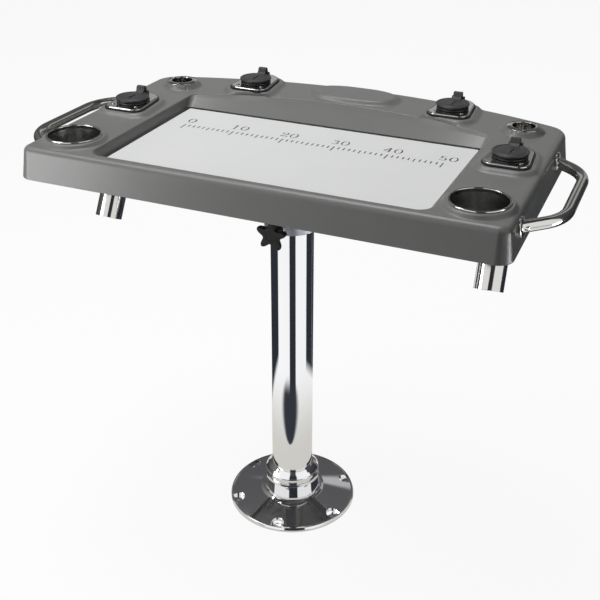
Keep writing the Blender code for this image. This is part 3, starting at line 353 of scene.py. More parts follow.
def cut(mesh: bpy.types.Mesh, cutters: list[Surface]) -> bpy.types.Mesh:
    """Take closed surfaces away from a mesh with an exact Boolean and return the result.

    Args:
        mesh: The body.
        cutters: What is taken away.

    Returns:
        What is left.
    """
    body, tool = linked("body", mesh), linked("tool", mesh_from("tool", cutters))
    step = body.modifiers.new("cut", "BOOLEAN")
    step.operation = "DIFFERENCE"
    step.solver = "EXACT"
    step.object = tool
    done = bpy.data.meshes.new_from_object(
        body.evaluated_get(bpy.context.evaluated_depsgraph_get()))
    for item in (body, tool):
        bpy.data.objects.remove(item, do_unlink=True)
    done.shade_smooth()
    done.set_sharp_from_angle(angle=SHARP_ANGLE)
    return done


def piece(name: str, made: list[Surface] | bpy.types.Mesh, finish: "Finish", body: str,
          stands_for: tuple[str, ...] = (), bevel: float = 0.0) -> bpy.types.Object:
    """Make one finished piece of the table.

    Args:
        name: The piece's name.
        made: Its surfaces, or a finished mesh.
        finish: What it is made of.
        body: The moving body that carries it.
        stands_for: The nodes that it is shown instead of.
        bevel: Width of a bevel on its sharp edges, if any.

    Returns:
        The object, at the origin and unturned.
    """
    mesh = made if isinstance(made, bpy.types.Mesh) else mesh_from(name, made)
    mesh.materials.append(finish.material())
    item = linked(name, mesh)
    if bevel > 0.0:
        edge = item.modifiers.new("edges", "BEVEL")
        edge.width = bevel
        edge.segments = 3
        edge.limit_method = "ANGLE"
        edge.angle_limit = BEVEL_ANGLE
        edge.harden_normals = True
    # Large faces keep their own direction, so long tubes mirror straight up to their ends.
    even = item.modifiers.new("normals", "WEIGHTED_NORMAL")
    even.mode = "FACE_AREA"
    even.keep_sharp = True
    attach(item, body)
    if stands_for:
        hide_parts(*stands_for)
    LOG.info("%s: %d faces on %s", name, len(mesh.polygons), body)
    return item


# Finishes


def linear(code: str) -> tuple[float, float, float, float]:
    """Turn an sRGB hex colour into linear values with full opacity.

    Args:
        code: The colour as #RRGGBB.

    Returns:
        Red, green, blue and opacity.
    """
    shares = [int(code[k:k + 2], 16) / 255.0 for k in (1, 3, 5)]
    return tuple(s / 12.92 if s <= 0.04045 else ((s + 0.055) / 1.055) ** 2.4
                 for s in shares) + (1.0,)


def add_node(tree: bpy.types.NodeTree, kind: str, settings: dict | None = None,
             links: dict | None = None) -> bpy.types.Node:
    """Add one node.

    Args:
        tree: The material's or world's tree.
        kind: Blender's name of the node type.
        settings: Values by property name or by socket name.
        links: Output sockets by the name or number of the socket that they feed.

    Returns:
        The node.
    """
    node = tree.nodes.new(kind)
    for name, value in (settings or {}).items():
        if isinstance(name, int) or name in node.inputs:
            node.inputs[name].default_value = value
        else:
            setattr(node, name, value)
    for name, source in (links or {}).items():
        tree.links.new(source, node.inputs[name])
    return node


# Most values of a noise lie between these two.
NOISE_RANGE = (0.3, 0.7)


@dataclass(frozen=True)
class Finish:
    """A surface finish: one shader with grain worked out from real sizes.

    Clouds and grain are noise on object coordinates. The clouds shade the colour between two
    tones, and the grain moves the roughness and lifts a fine bump. Grain that is too fine to
    show in a render is drawn coarser, at 0.4 mm and more.
    """

    name: str
    tone: str
    worn_tone: str
    roughness: float
    metallic: float = 0.0
    specular: float = 0.5
    grain_mm: float = 1.0
    cloud_mm: float = 60.0
    roughness_swing: float = 0.05
    bump_mm: float = 0.02
    stretch: Point = (1.0, 1.0, 1.0)

    def material(self) -> bpy.types.Material:
        """Return the material, made once."""
        found = bpy.data.materials.get(self.name)
        return found if found else self.made()

    def made(self) -> bpy.types.Material:
        """Build the material's nodes.

        Returns:
            The new material.
        """
        made = bpy.data.materials.new(self.name)
        made.use_nodes = True
        made.diffuse_color = linear(self.tone)
        tree = made.node_tree
        shader = tree.nodes["Principled BSDF"]
        shader.inputs["Metallic"].default_value = self.metallic
        shader.inputs["Specular IOR Level"].default_value = self.specular
        place = add_node(tree, "ShaderNodeTexCoord")
        stretched = add_node(tree, "ShaderNodeMapping", {"Scale": self.stretch},
                             {"Vector": place.outputs["Object"]})
        cloud, grain = (add_node(tree, "ShaderNodeTexNoise",
                                 {"Scale": 1.0 / (size * MILLIMETRE), "Detail": detail},
                                 {"Vector": stretched.outputs["Vector"]})
                        for size, detail in ((self.cloud_mm, 4.0), (self.grain_mm, 3.0)))
        colour = add_node(tree, "ShaderNodeMix",
                          {"data_type": "RGBA", 6: linear(self.tone), 7: linear(self.worn_tone)},
                          {0: cloud.outputs["Fac"]})
        tree.links.new(colour.outputs[2], shader.inputs["Base Color"])
        rough = add_node(tree, "ShaderNodeMapRange",
                         {"From Min": NOISE_RANGE[0], "From Max": NOISE_RANGE[1],
                          "To Min": max(self.roughness - self.roughness_swing, 0.0),
                          "To Max": self.roughness + self.roughness_swing},
                         {"Value": grain.outputs["Fac"]})
        tree.links.new(rough.outputs["Result"], shader.inputs["Roughness"])
        if self.bump_mm > 0.0:
            bump = add_node(tree, "ShaderNodeBump",
                            {"Strength": 1.0, "Distance": self.bump_mm * MILLIMETRE},
                            {"Height": grain.outputs["Fac"]})
            tree.links.new(bump.outputs["Normal"], shader.inputs["Normal"])
        return made


# Moulded polyethylene: satin, a faint pebble from the mould and slow clouds in the grey.
MOULDED_GREY = Finish("moulded_polyethylene_grey", "#757674", "#7B7C7A", 0.34, grain_mm=0.9,
                      cloud_mm=45.0, bump_mm=0.012, roughness_swing=0.04)
# High-density polyethylene board, sawn from sheet: matt off-white with a fine grain.
BOARD_WHITE = Finish("polyethylene_board_white", "#E3E4E4", "#E8E9E8", 0.46, grain_mm=0.7,
                     bump_mm=0.008, roughness_swing=0.05)
# Screen-printed ink, baked on: flat black-grey.
PRINT_INK = Finish("screen_print_ink", "#242426", "#2E2E30", 0.55, grain_mm=0.4, bump_mm=0.0)
# Aluminium tube, drawn and polished on the wheel: mirror-bright with faint lines along it.
POST_ALUMINIUM = Finish("polished_aluminium_tube", "#FAFAFB", "#F5F6F7", 0.05, 1.0, grain_mm=0.8,
                        stretch=(1.0, 1.0, 0.02), bump_mm=0.0006, roughness_swing=0.02)
# Aluminium casting, turned and polished: mirror-bright and even all round.
BASE_ALUMINIUM = Finish("polished_aluminium_base", "#F2F2F3", "#EBEBEC", 0.06, 1.0, grain_mm=1.2,
                        bump_mm=0.0003, roughness_swing=0.02)
# Sand-cast aluminium, tumbled: a soft grey sheen over a coarse skin.
CAST_ALUMINIUM = Finish("cast_aluminium", "#BDBDC4", "#B0B0B7", 0.42, 1.0, grain_mm=1.1,
                        bump_mm=0.05, roughness_swing=0.08)
# Stainless steel, pressed and polished: bright, slightly warm, with a faint mottle.
STAINLESS = Finish("polished_stainless", "#DCDAD7", "#D2D0CD", 0.10, 1.0, grain_mm=0.6,
                   bump_mm=0.0010, roughness_swing=0.04)
# Stainless sheet, spun over a form: softer shine with rings left by the roller. Its tone is
# darker than the other steel's: painted shade for the dark inside of the cup.
SHADED_CUP_STAINLESS = Finish("spun_stainless", "#ABABAA", "#A0A09F", 0.22, 1.0, grain_mm=0.5,
                       stretch=(1.0, 1.0, 6.0), bump_mm=0.0015, roughness_swing=0.05)
# Stainless tube, bent and polished: as bright, with a little coarser mottle.
TUBE_STAINLESS = Finish("polished_stainless_tube", "#DAD8D5", "#D0CECB", 0.11, 1.0,
                        grain_mm=0.7, bump_mm=0.0010, roughness_swing=0.04)
# Glass-filled nylon, moulded: near black with a dull skin.
BLACK_NYLON = Finish("moulded_black_nylon", "#363637", "#404042", 0.38, grain_mm=0.8,
                     bump_mm=0.02, roughness_swing=0.08, cloud_mm=12.0)
# Black plastic, moulded: deep black and dull.
KNOB_BLACK = Finish("moulded_black_knob", "#0D0D0F", "#141416", 0.46, specular=0.3,
                    grain_mm=0.8, bump_mm=0.015, roughness_swing=0.06, cloud_mm=12.0)
# Sheet rubber, stamped: matt black.
GASKET_RUBBER = Finish("gasket_rubber", "#1A1A1A", "#222222", 0.70, grain_mm=0.5, bump_mm=0.03)
# Nylon, turned from bar: milky white.
WHITE_NYLON = Finish("turned_white_nylon", "#DAD9D4", "#D2D1CC", 0.45, grain_mm=0.6,
                     bump_mm=0.01)


# Plan of the tray


@dataclass(frozen=True)
class Plan:
    """Outline with a straight front, round corners and a back bowed to a large radius."""

    front: float
    back: float
    front_half: float
    back_half: float
    front_corner: float
    back_corner: float
    bow: float

    def outline(self, outset: float = 0.0) -> Array:
        """Return the outline moved out by a distance, always with the same count of points.

        The back corner's circle touches the bow's circle from inside, so the two meet at the
        angle where the corner's centre lies as seen from the bow's centre.

        Args:
            outset: Distance to move out by; below zero it moves in.

        Returns:
            The outline's points, counter-clockwise.
        """
        bow_centre = self.back - self.bow
        corner_x = self.back_half - self.back_corner
        corner_y = bow_centre + sqrt((self.bow - self.back_corner) ** 2 - corner_x ** 2)
        meeting = atan2(corner_y - bow_centre, corner_x)
        front_centre = (self.front_half - self.front_corner, self.front + self.front_corner)
        front_arc = arc(front_centre, self.front_corner + outset, -QUARTER_TURN, 0.0, 20)
        back_arc = arc((corner_x, corner_y), self.back_corner + outset, 0.0, meeting, 28)
        side = line(front_arc[-1], back_arc[0], 150)
        right = np.concatenate([front_arc, side, back_arc])
        bowed = arc((0.0, bow_centre), self.bow + outset, meeting, pi - meeting, 216)[1:-1]
        left = right[::-1] * np.array([-1.0, 1.0])
        return np.concatenate([right, bowed, left, line(left[-1], right[0], 216)])


def between(low: Array, high: Array, share: float) -> Array:
    """Blend two outlines point by point."""
    return low + (high - low) * share


def swell(share: Array) -> Array:
    """Rise softly from 0 to 1: half a cosine wave, flat at both ends."""
    return 0.5 - 0.5 * np.cos(pi * np.clip(share, 0.0, 1.0))


def outside(points: Array, outline: Array) -> Array:
    """Distance of points outside a convex outline; zero within it.

    Each edge gives the nearest point of its own line cut to the edge, and the least distance
    counts, unless the point lies on the inner side of every edge.

    Args:
        points: Plan points, one per row.
        outline: A convex outline, counter-clockwise.

    Returns:
        One distance for each point.
    """
    start = outline
    run = np.roll(outline, -1, axis=0) - outline
    arm = points[:, None] - start[None]
    share = np.clip((arm * run).sum(-1) / (run * run).sum(-1), 0.0, 1.0)
    distance = np.linalg.norm(arm - share[..., None] * run[None], axis=-1).min(axis=1)
    turn = run[:, 0] * arm[..., 1] - run[:, 1] * arm[..., 0]
    return np.where((turn >= 0.0).all(axis=1), 0.0, distance)


# Places shared by the fittings


@dataclass(frozen=True)
class Holder:
    """Place of one rod holder: its name, its centre and the side that its tube splays to."""

    name: str
    x: float
    y: float

    @property
    def splay_side(self) -> float:
        """Return -1 for the left half and 1 for the right half."""
        return -1.0 if self.x < 0.0 else 1.0


HOLDERS = (Holder("side_left", -0.363, 0.072), Holder("side_right", 0.363, 0.072),
           Holder("back_left", -0.204, 0.280), Holder("back_right", 0.204, 0.280))
CUP_PLACE = (0.3635, -0.1205)
RING_PLACE = (0.3485, 0.236)
# The rod tubes lean forward at their lower ends, and a little outward.
TILT = radians(27.0)
SPLAY = radians(2.0)

# Sizes that more than one piece goes by.
TRAY_PLAN = Plan(-0.1935, 0.365, 0.4288, 0.4208, 0.020, 0.045, 1.130)
BOARD_PLAN = Plan(-0.166, 0.1615, 0.2895, 0.2895, 0.020, 0.003, 80.0)
DECK_OVER_BOARD = 0.018
PAD_HEIGHT = 0.007
RING_PAD_HEIGHT = 0.009
DECK_EDGE = 0.012
SKIRT_DRAFT = 0.0065
SKIRT_DEPTH = 0.0565
POST_RADIUS = 0.040
HUB_BOLTS = 6
BOLT_CIRCLE = 0.080


def bolt_place(index: int) -> tuple[float, float]:
    """Place of one of the bolts under the table, halfway between two webs."""
    angle = QUARTER_TURN + FULL_TURN * (index + 0.5) / HUB_BOLTS
    return BOLT_CIRCLE * cos(angle), BOLT_CIRCLE * sin(angle)


def flange_outline(outset: float = 0.0, arc_steps: int = 12) -> Array:
    """Shield outline of a rod holder's flange round its own centre.

    It is the outer tangent line round two small front rounds and one large back round.

    Args:
        outset: Distance that it is moved out by.
        arc_steps: Steps of a small round; the large one has four times that.

    Returns:
        The outline's points.
    """
    front_x, front_y, front_round = 0.0205, -0.0275, 0.0180 + outset
    back_y, back_round = 0.0280, 0.0330 + outset
    reach = hypot(front_x, back_y - front_y)
    slant = atan2(front_x, back_y - front_y)
    tangent = asin((back_round - front_round) / reach) - slant
    right = arc((front_x, front_y), front_round, -QUARTER_TURN, -tangent, arc_steps)
    back = arc((0.0, back_y), back_round, -tangent, pi + tangent, 4 * arc_steps)
    left = right[::-1] * np.array([-1.0, 1.0])
    return np.concatenate([right, line(right[-1], back[0], arc_steps), back,
                           line(back[-1], left[0], arc_steps), left,
                           line(left[-1], right[0], arc_steps)])


def slanted_axis(side: float) -> Array:
    """Unit direction of a rod tube, down, forward and a little outward."""
    return np.array([side * sin(SPLAY), -sin(TILT) * cos(SPLAY), -cos(TILT) * cos(SPLAY)])


def slanted_ring(radius: float, turn: Array, side: float, reach: float = 0.0,
                 at_level: float | None = None) -> Array:
    """Ring round a rod tube's axis, in the flange's own frame.

    A spoke is r (cos u . level + sin u . rise); it stands at a reach along the axis, or is slid
    along the axis until it meets a level.

    Args:
        radius: Radius of the ring.
        turn: Angles of its points.
        side: Side that the tube splays to.
        reach: Distance down the axis.
        at_level: Level that every point slides to, instead of the reach.

    Returns:
        The ring's points.
    """
    axis = slanted_axis(side)
    level_side = np.array([1.0, 0.0, 0.0]) - axis * axis[0]
    level_side /= np.linalg.norm(level_side)
    rise = np.cross(level_side, axis)
    spoke = radius * (np.cos(turn)[:, None] * level_side + np.sin(turn)[:, None] * rise)
    length = reach if at_level is None else ((at_level - spoke[:, 2]) / axis[2])[:, None]
    return spoke + axis * length


def screw_head(centre: Point, radius: float) -> list[Surface]:
    """Countersunk screw head: a low dome with the driver's cross on it as two thin bars.

    Args:
        centre: Its middle, level with its edge.
        radius: Its radius.

    Returns:
        The dome and the bars.
    """
    shape = np.array([(0.05, 0.22), (0.8, 0.16), (1.0, 0.0), (0.9, -0.3), (0.05, -0.3)])
    profile = rounded(shape * radius + (0.0, centre[2]), [0, radius * 0.5, 0, 0, 0])
    arms = np.array([(0.62, 0.11, 0.0), (0.11, 0.62, 0.0)]) * radius
    low, high = (np.array((0.0, 0.0, rise)) * radius for rise in (0.12, 0.26))
    bars = boxes(centre - arms + low, centre + arms + high)
    return [turned(profile, 24, centre[:2]), bars]


@dataclass
class Levels:
    """Heights that the pieces share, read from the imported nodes."""

    board_bottom: float
    board_top: float
    skirt_bottom: float
    flange_top: float
    deck: float

    @classmethod
    def from_frame(cls) -> "Levels":
        """Read the heights from the nodes' boxes and the stack of clearances.

        Returns:
            The heights.
        """
        board_low, board_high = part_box("cutting_board")
        tray_low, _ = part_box("tray_shell")
        _, flange_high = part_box("rod_holder_side_left")
        return cls(board_low.z, board_high.z, tray_low.z, flange_high.z,
                   board_high.z + DECK_OVER_BOARD)


# Sub-assemblies


@dataclass
class Pedestal:
    """Round base, its socket and closing ring, and the post."""

    radius: float = 0.1262
    edge_height: float = 0.0045
    rim_height: float = 0.009
    rim_width: float = 0.0045
    cone_height: float = 0.022
    socket_radius: float = 0.0555
    socket_height: float = 0.058
    socket_floor: float = 0.008
    notches: int = 6
    first_notch: float = radians(-81.0)
    notch_setback: float = 0.0125
    notch_radius: float = 0.0125
    notch_floor: float = 0.0045
    screw_hole: float = 0.0036
    ring_radius: float = 0.0535
    ring_height: float = 0.0245
    ring_taper: float = 0.012
    post_radius: float = POST_RADIUS
    post_wall: float = 0.003

    def build(self) -> None:
        """Build the base, the ring and the post."""
        piece("round_base", cut(mesh_from("round_base", [self.base()]), self.notch_cutters()),
              BASE_ALUMINIUM, "pedestal", ("base_flange",))
        piece("closing_ring", [self.ring()], BASE_ALUMINIUM, "pedestal",
              ("base_collar_ring",))
        piece("post", [self.post()], POST_ALUMINIUM, "pedestal",
              ("post_tube",))

    def base(self) -> Surface:
        """Turn the base: cone, raised rim, beaded foot and waisted socket.

        Returns:
            The base, before its notches are cut.
        """
        inner = self.post_radius + GAP
        foot = self.socket_radius
        corners = [
            (0.002, 0.0), (foot - 0.002, 0.0), (foot + 0.002, self.cone_height - 0.007),
            (self.radius - 0.019, self.rim_height - 0.0045), (self.radius - 0.016, 0.0),
            (self.radius, 0.0), (self.radius, self.edge_height),
            (self.radius - 0.0018, self.rim_height),
            (self.radius - self.rim_width, self.rim_height),
            (self.radius - self.rim_width - 0.001, self.rim_height - 0.0006),
            (foot + 0.0085, self.cone_height - 0.0005),
            (foot + 0.0040, self.cone_height + 0.0020),
            (foot + 0.0012, self.cone_height + 0.0022),
            (foot + 0.0002, self.cone_height + 0.0060),
            (foot - 0.0006, self.socket_height - 0.004),
            (foot - 0.0016, self.socket_height),
            (inner, self.socket_height), (inner, self.socket_floor), (0.002, self.socket_floor)]
        bends = [0, 0.001, 0.001, 0.001, 0.001, 0.0006, 0.002, 0.0012, 0.0006, 0.0004, 0.004,
                 0.0012, 0.0006, 0.002, 0.001, 0.0005, 0.0003, 0, 0]
        return turned(rounded(corners, bends), 192)

    def notch_cutters(self) -> list[Surface]:
        """Half-round cutters open towards the rim, and a drill for each screw hole.

        Returns:
            Two cutters for each notch.
        """
        cutters = []
        for k in range(self.notches):
            angle = self.first_notch + FULL_TURN * k / self.notches
            out, side = np.array([cos(angle), sin(angle)]), np.array([-sin(angle), cos(angle)])
            centre = out * (self.radius - self.notch_setback)
            reach = self.notch_setback - self.rim_width
            flat = np.concatenate([arc((0.0, 0.0), self.notch_radius, QUARTER_TURN,
                                       3.0 * QUARTER_TURN, 24),
                                   [(reach, -self.notch_radius), (reach, self.notch_radius)]])
            rings = []
            for height, spread in ((self.notch_floor, 0.94), (self.notch_floor + 0.001, 1.0),
                                   (self.cone_height, 1.08)):
                stretch = np.where(flat[:, :1] < 0.0, spread, 1.0)
                plan = centre + out * flat[:, :1] * stretch + side * flat[:, 1:] * spread
                rings.append(level(plan, height))
            cutters.append(stacked(rings))
            hole = circle(self.screw_hole, 20, tuple(centre))
            cutters.append(stacked([level(hole, -0.002), level(hole, self.notch_floor + 0.0005)]))
        return cutters

    def ring(self) -> Surface:
        """Turn the closing ring: a rounded band, a groove and a taper up to the post.

        Returns:
            The ring.
        """
        low = self.socket_height + GAP
        straight = low + self.ring_height - self.ring_taper
        inner = self.post_radius + GAP
        corners = [(inner, low), (self.ring_radius - 0.0018, low),
                   (self.ring_radius, low + 0.0025),
                   (self.ring_radius - 0.0004, straight - 0.0014),
                   (self.ring_radius - 0.0016, straight - 0.0004),
                   (self.ring_radius - 0.0010, straight + 0.0008),
                   (self.ring_radius - 0.0050, straight + 0.0062),
                   (inner + 0.0022, low + self.ring_height), (inner, low + self.ring_height)]
        return turned(rounded(corners, [0, 0.001, 0.002, 0.0006, 0.0003, 0.0006, 0.006, 0.001, 0],
                              closed=True), 192, closed=True)

    def post(self) -> Surface:
        """Turn the post tube with eased ends.

        Returns:
            The tube.
        """
        low = self.socket_floor + GAP
        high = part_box("post_tube")[1].z
        inner = self.post_radius - self.post_wall
        corners = [(inner, low), (self.post_radius, low), (self.post_radius, high), (inner, high)]
        return turned(rounded(corners, [0.0004] * 4, 3, closed=True), 192, closed=True)


@dataclass
class Swivel:
    """Nylon thimble over the post's end, the cast socket round it, and the clamping knob."""

    post_radius: float = POST_RADIUS
    bush_wall: float = 0.003
    bush_crown: float = 0.006
    socket_wall: float = 0.006
    socket_drop: float = 0.107
    flange_radius: float = 0.096
    flange_thickness: float = 0.008
    rib_thickness: float = 0.005
    rib_height: float = 0.045
    bolt_head: float = 0.006
    bolt_head_height: float = 0.004
    bolt_shank: float = 0.0030
    washer: float = 0.0064
    knob_height: float = 0.015
    boss_radius: float = 0.012
    boss_length: float = 0.011
    knob_tip: float = 0.029
    knob_waist: float = 0.0165
    knob_lobes: int = 5
    first_lobe: float = radians(86.0)
    knob_thickness: float = 0.012
    knob_edge: float = 0.0042
    neck_radius: float = 0.0115
    neck_length: float = 0.018
    stud_radius: float = 0.005

    def __post_init__(self) -> None:
        """Work out the stack of radii and heights."""
        self.bush_inner = self.post_radius + GAP
        self.bush_outer = self.bush_inner + self.bush_wall
        self.sleeve_inner = self.bush_outer + GAP
        self.sleeve_outer = self.sleeve_inner + self.socket_wall
        self.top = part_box("tray_hub")[1].z
        self.roof = self.top - self.flange_thickness
        self.bottom = self.roof - self.socket_drop
        self.knob_level = self.bottom + self.knob_height
        self.boss_face = self.sleeve_outer + self.boss_length

    def build(self) -> None:
        """Build the thimble, the casting, its bolts, the knob and the stud."""
        piece("nylon_bush", [self.bush()], WHITE_NYLON, "swivel",
              ("swivel_bush",))
        piece("cast_socket", self.casting(), CAST_ALUMINIUM, "tray",
              ("tray_hub",), bevel=0.0008)
        for k in range(HUB_BOLTS):
            self.bolt(k)
        piece("lobed_knob", self.knob(), KNOB_BLACK, "knob", ("locking_knob",))
        stud = swept(np.array([[0.0, -self.bush_outer - GAP, self.knob_level],
                               [0.0, -self.boss_face - self.neck_length - 0.004,
                                self.knob_level]]), self.stud_radius, 24)
        piece("stud", [stud], STAINLESS, "knob", ("knob_stud",))

    def bush(self) -> Surface:
        """Turn the thimble.

        Returns:
            The thimble.
        """
        crown = self.roof - GAP
        corners = [(0.002, crown - self.bush_crown), (self.bush_inner, crown - self.bush_crown),
                   (self.bush_inner, self.bottom), (self.bush_outer, self.bottom),
                   (self.bush_outer, crown), (0.002, crown)]
        return turned(rounded(corners, [0, 0.001, 0.0005, 0.0005, 0.001, 0]), 128)

    def casting(self) -> list[Surface]:
        """Turn the flanged sleeve and set its webs and the knob's boss on it.

        Returns:
            Sleeve, webs and boss.
        """
        corners = [(0.002, self.roof), (self.sleeve_inner, self.roof),
                   (self.sleeve_inner, self.bottom), (self.sleeve_outer, self.bottom),
                   (self.sleeve_outer, self.roof), (self.flange_radius, self.roof + 0.002),
                   (self.flange_radius, self.top), (0.002, self.top)]
        made = [turned(rounded(corners, [0, 0, 0.0008, 0.0012, 0.006, 0.0015, 0.001, 0]), 144)]
        web = np.array([(self.sleeve_outer - 0.003, self.roof + 0.003),
                        (self.sleeve_outer - 0.003, self.roof - self.rib_height),
                        (self.sleeve_outer + 0.003, self.roof - self.rib_height),
                        (self.flange_radius - 0.006, self.roof + 0.003)])
        rib = prism(web, -self.rib_thickness / 2.0, self.rib_thickness / 2.0, 1)
        for k in range(HUB_BOLTS):
            angle = QUARTER_TURN + FULL_TURN * k / HUB_BOLTS
            made.append(rib.moved(Matrix.Rotation(angle, 4, "Z")))
        boss = swept(np.array([[0.0, -self.sleeve_outer + 0.003, self.knob_level],
                               [0.0, -self.boss_face, self.knob_level]]), self.boss_radius, 48)
        return made + [boss]

    def bolt(self, index: int) -> None:
        """Make one hexagon bolt below the flange, with a washer face and a plain shank.

        Args:
            index: Which bolt, from 0.
        """
        centre = bolt_place(index)
        low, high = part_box(f"hub_bolt_{index + 1}")
        seat, shank = low.z + self.bolt_head_height, self.bolt_shank
        head = prism(circle(self.bolt_head, 6, centre), low.z, seat - 0.0004, 2)
        washer = turned(np.array([(shank, seat - 0.0006), (self.washer, seat - 0.0006),
                                  (self.washer, seat), (shank, seat), (shank, high.z),
                                  (0.0005, high.z), (0.0005, seat - 0.0006)]), 36, centre,
                        closed=True)
        piece(f"hexagon_bolt_{index + 1}", [head, washer], STAINLESS, "tray",
              (f"hub_bolt_{index + 1}",), bevel=0.0005)

    def star(self, inset: float) -> Array:
        """Star outline: from the waist the radius rises once for each lobe.

        The rise is half of 1 + the lobes' cosine, to the power 1.5, which slims the arms.

        Args:
            inset: What is taken off the radius.

        Returns:
            The outline's points.
        """
        turn = turns(self.knob_lobes * 28)
        rise = (0.5 + 0.5 * np.cos(self.knob_lobes * (turn - self.first_lobe))) ** 1.5
        radius = self.knob_waist + (self.knob_tip - self.knob_waist) * rise - inset
        return np.column_stack([radius * np.cos(turn), radius * np.sin(turn)])

    def knob(self) -> list[Surface]:
        """Loft the lobes with round edges and a dished face, and set the neck behind them.

        Returns:
            The lobed body and its neck.
        """
        back = self.boss_face + GAP + self.neck_length
        front = back + self.knob_thickness
        rows = [np.insert(self.star(inset), 1, -depth, axis=1)
                for inset, depth in eased(back, front, self.knob_edge, 7)]
        face = self.star(self.knob_edge)
        length = np.linalg.norm(face, axis=1)
        for scale, dish in ((0.62, 0.0), (0.58, 0.0006), (0.25, 0.0008)):
            reach = np.minimum(length, self.knob_waist) * scale
            plan = face / length[:, None] * reach[:, None]
            rows.append(np.insert(plan, 1, -front + dish, axis=1))
        neck = [(self.neck_radius - 0.0008, -self.boss_face - GAP),
                (self.neck_radius, -self.boss_face - GAP - 0.0008),
                (self.neck_radius, -back - 0.004)]
        neck_rows = [np.insert(circle(radius, 48), 1, depth, axis=1) for radius, depth in neck]
        lift = Matrix.Translation((0.0, 0.0, self.knob_level))
        return [stacked(rows).moved(lift), stacked(neck_rows).moved(lift)]


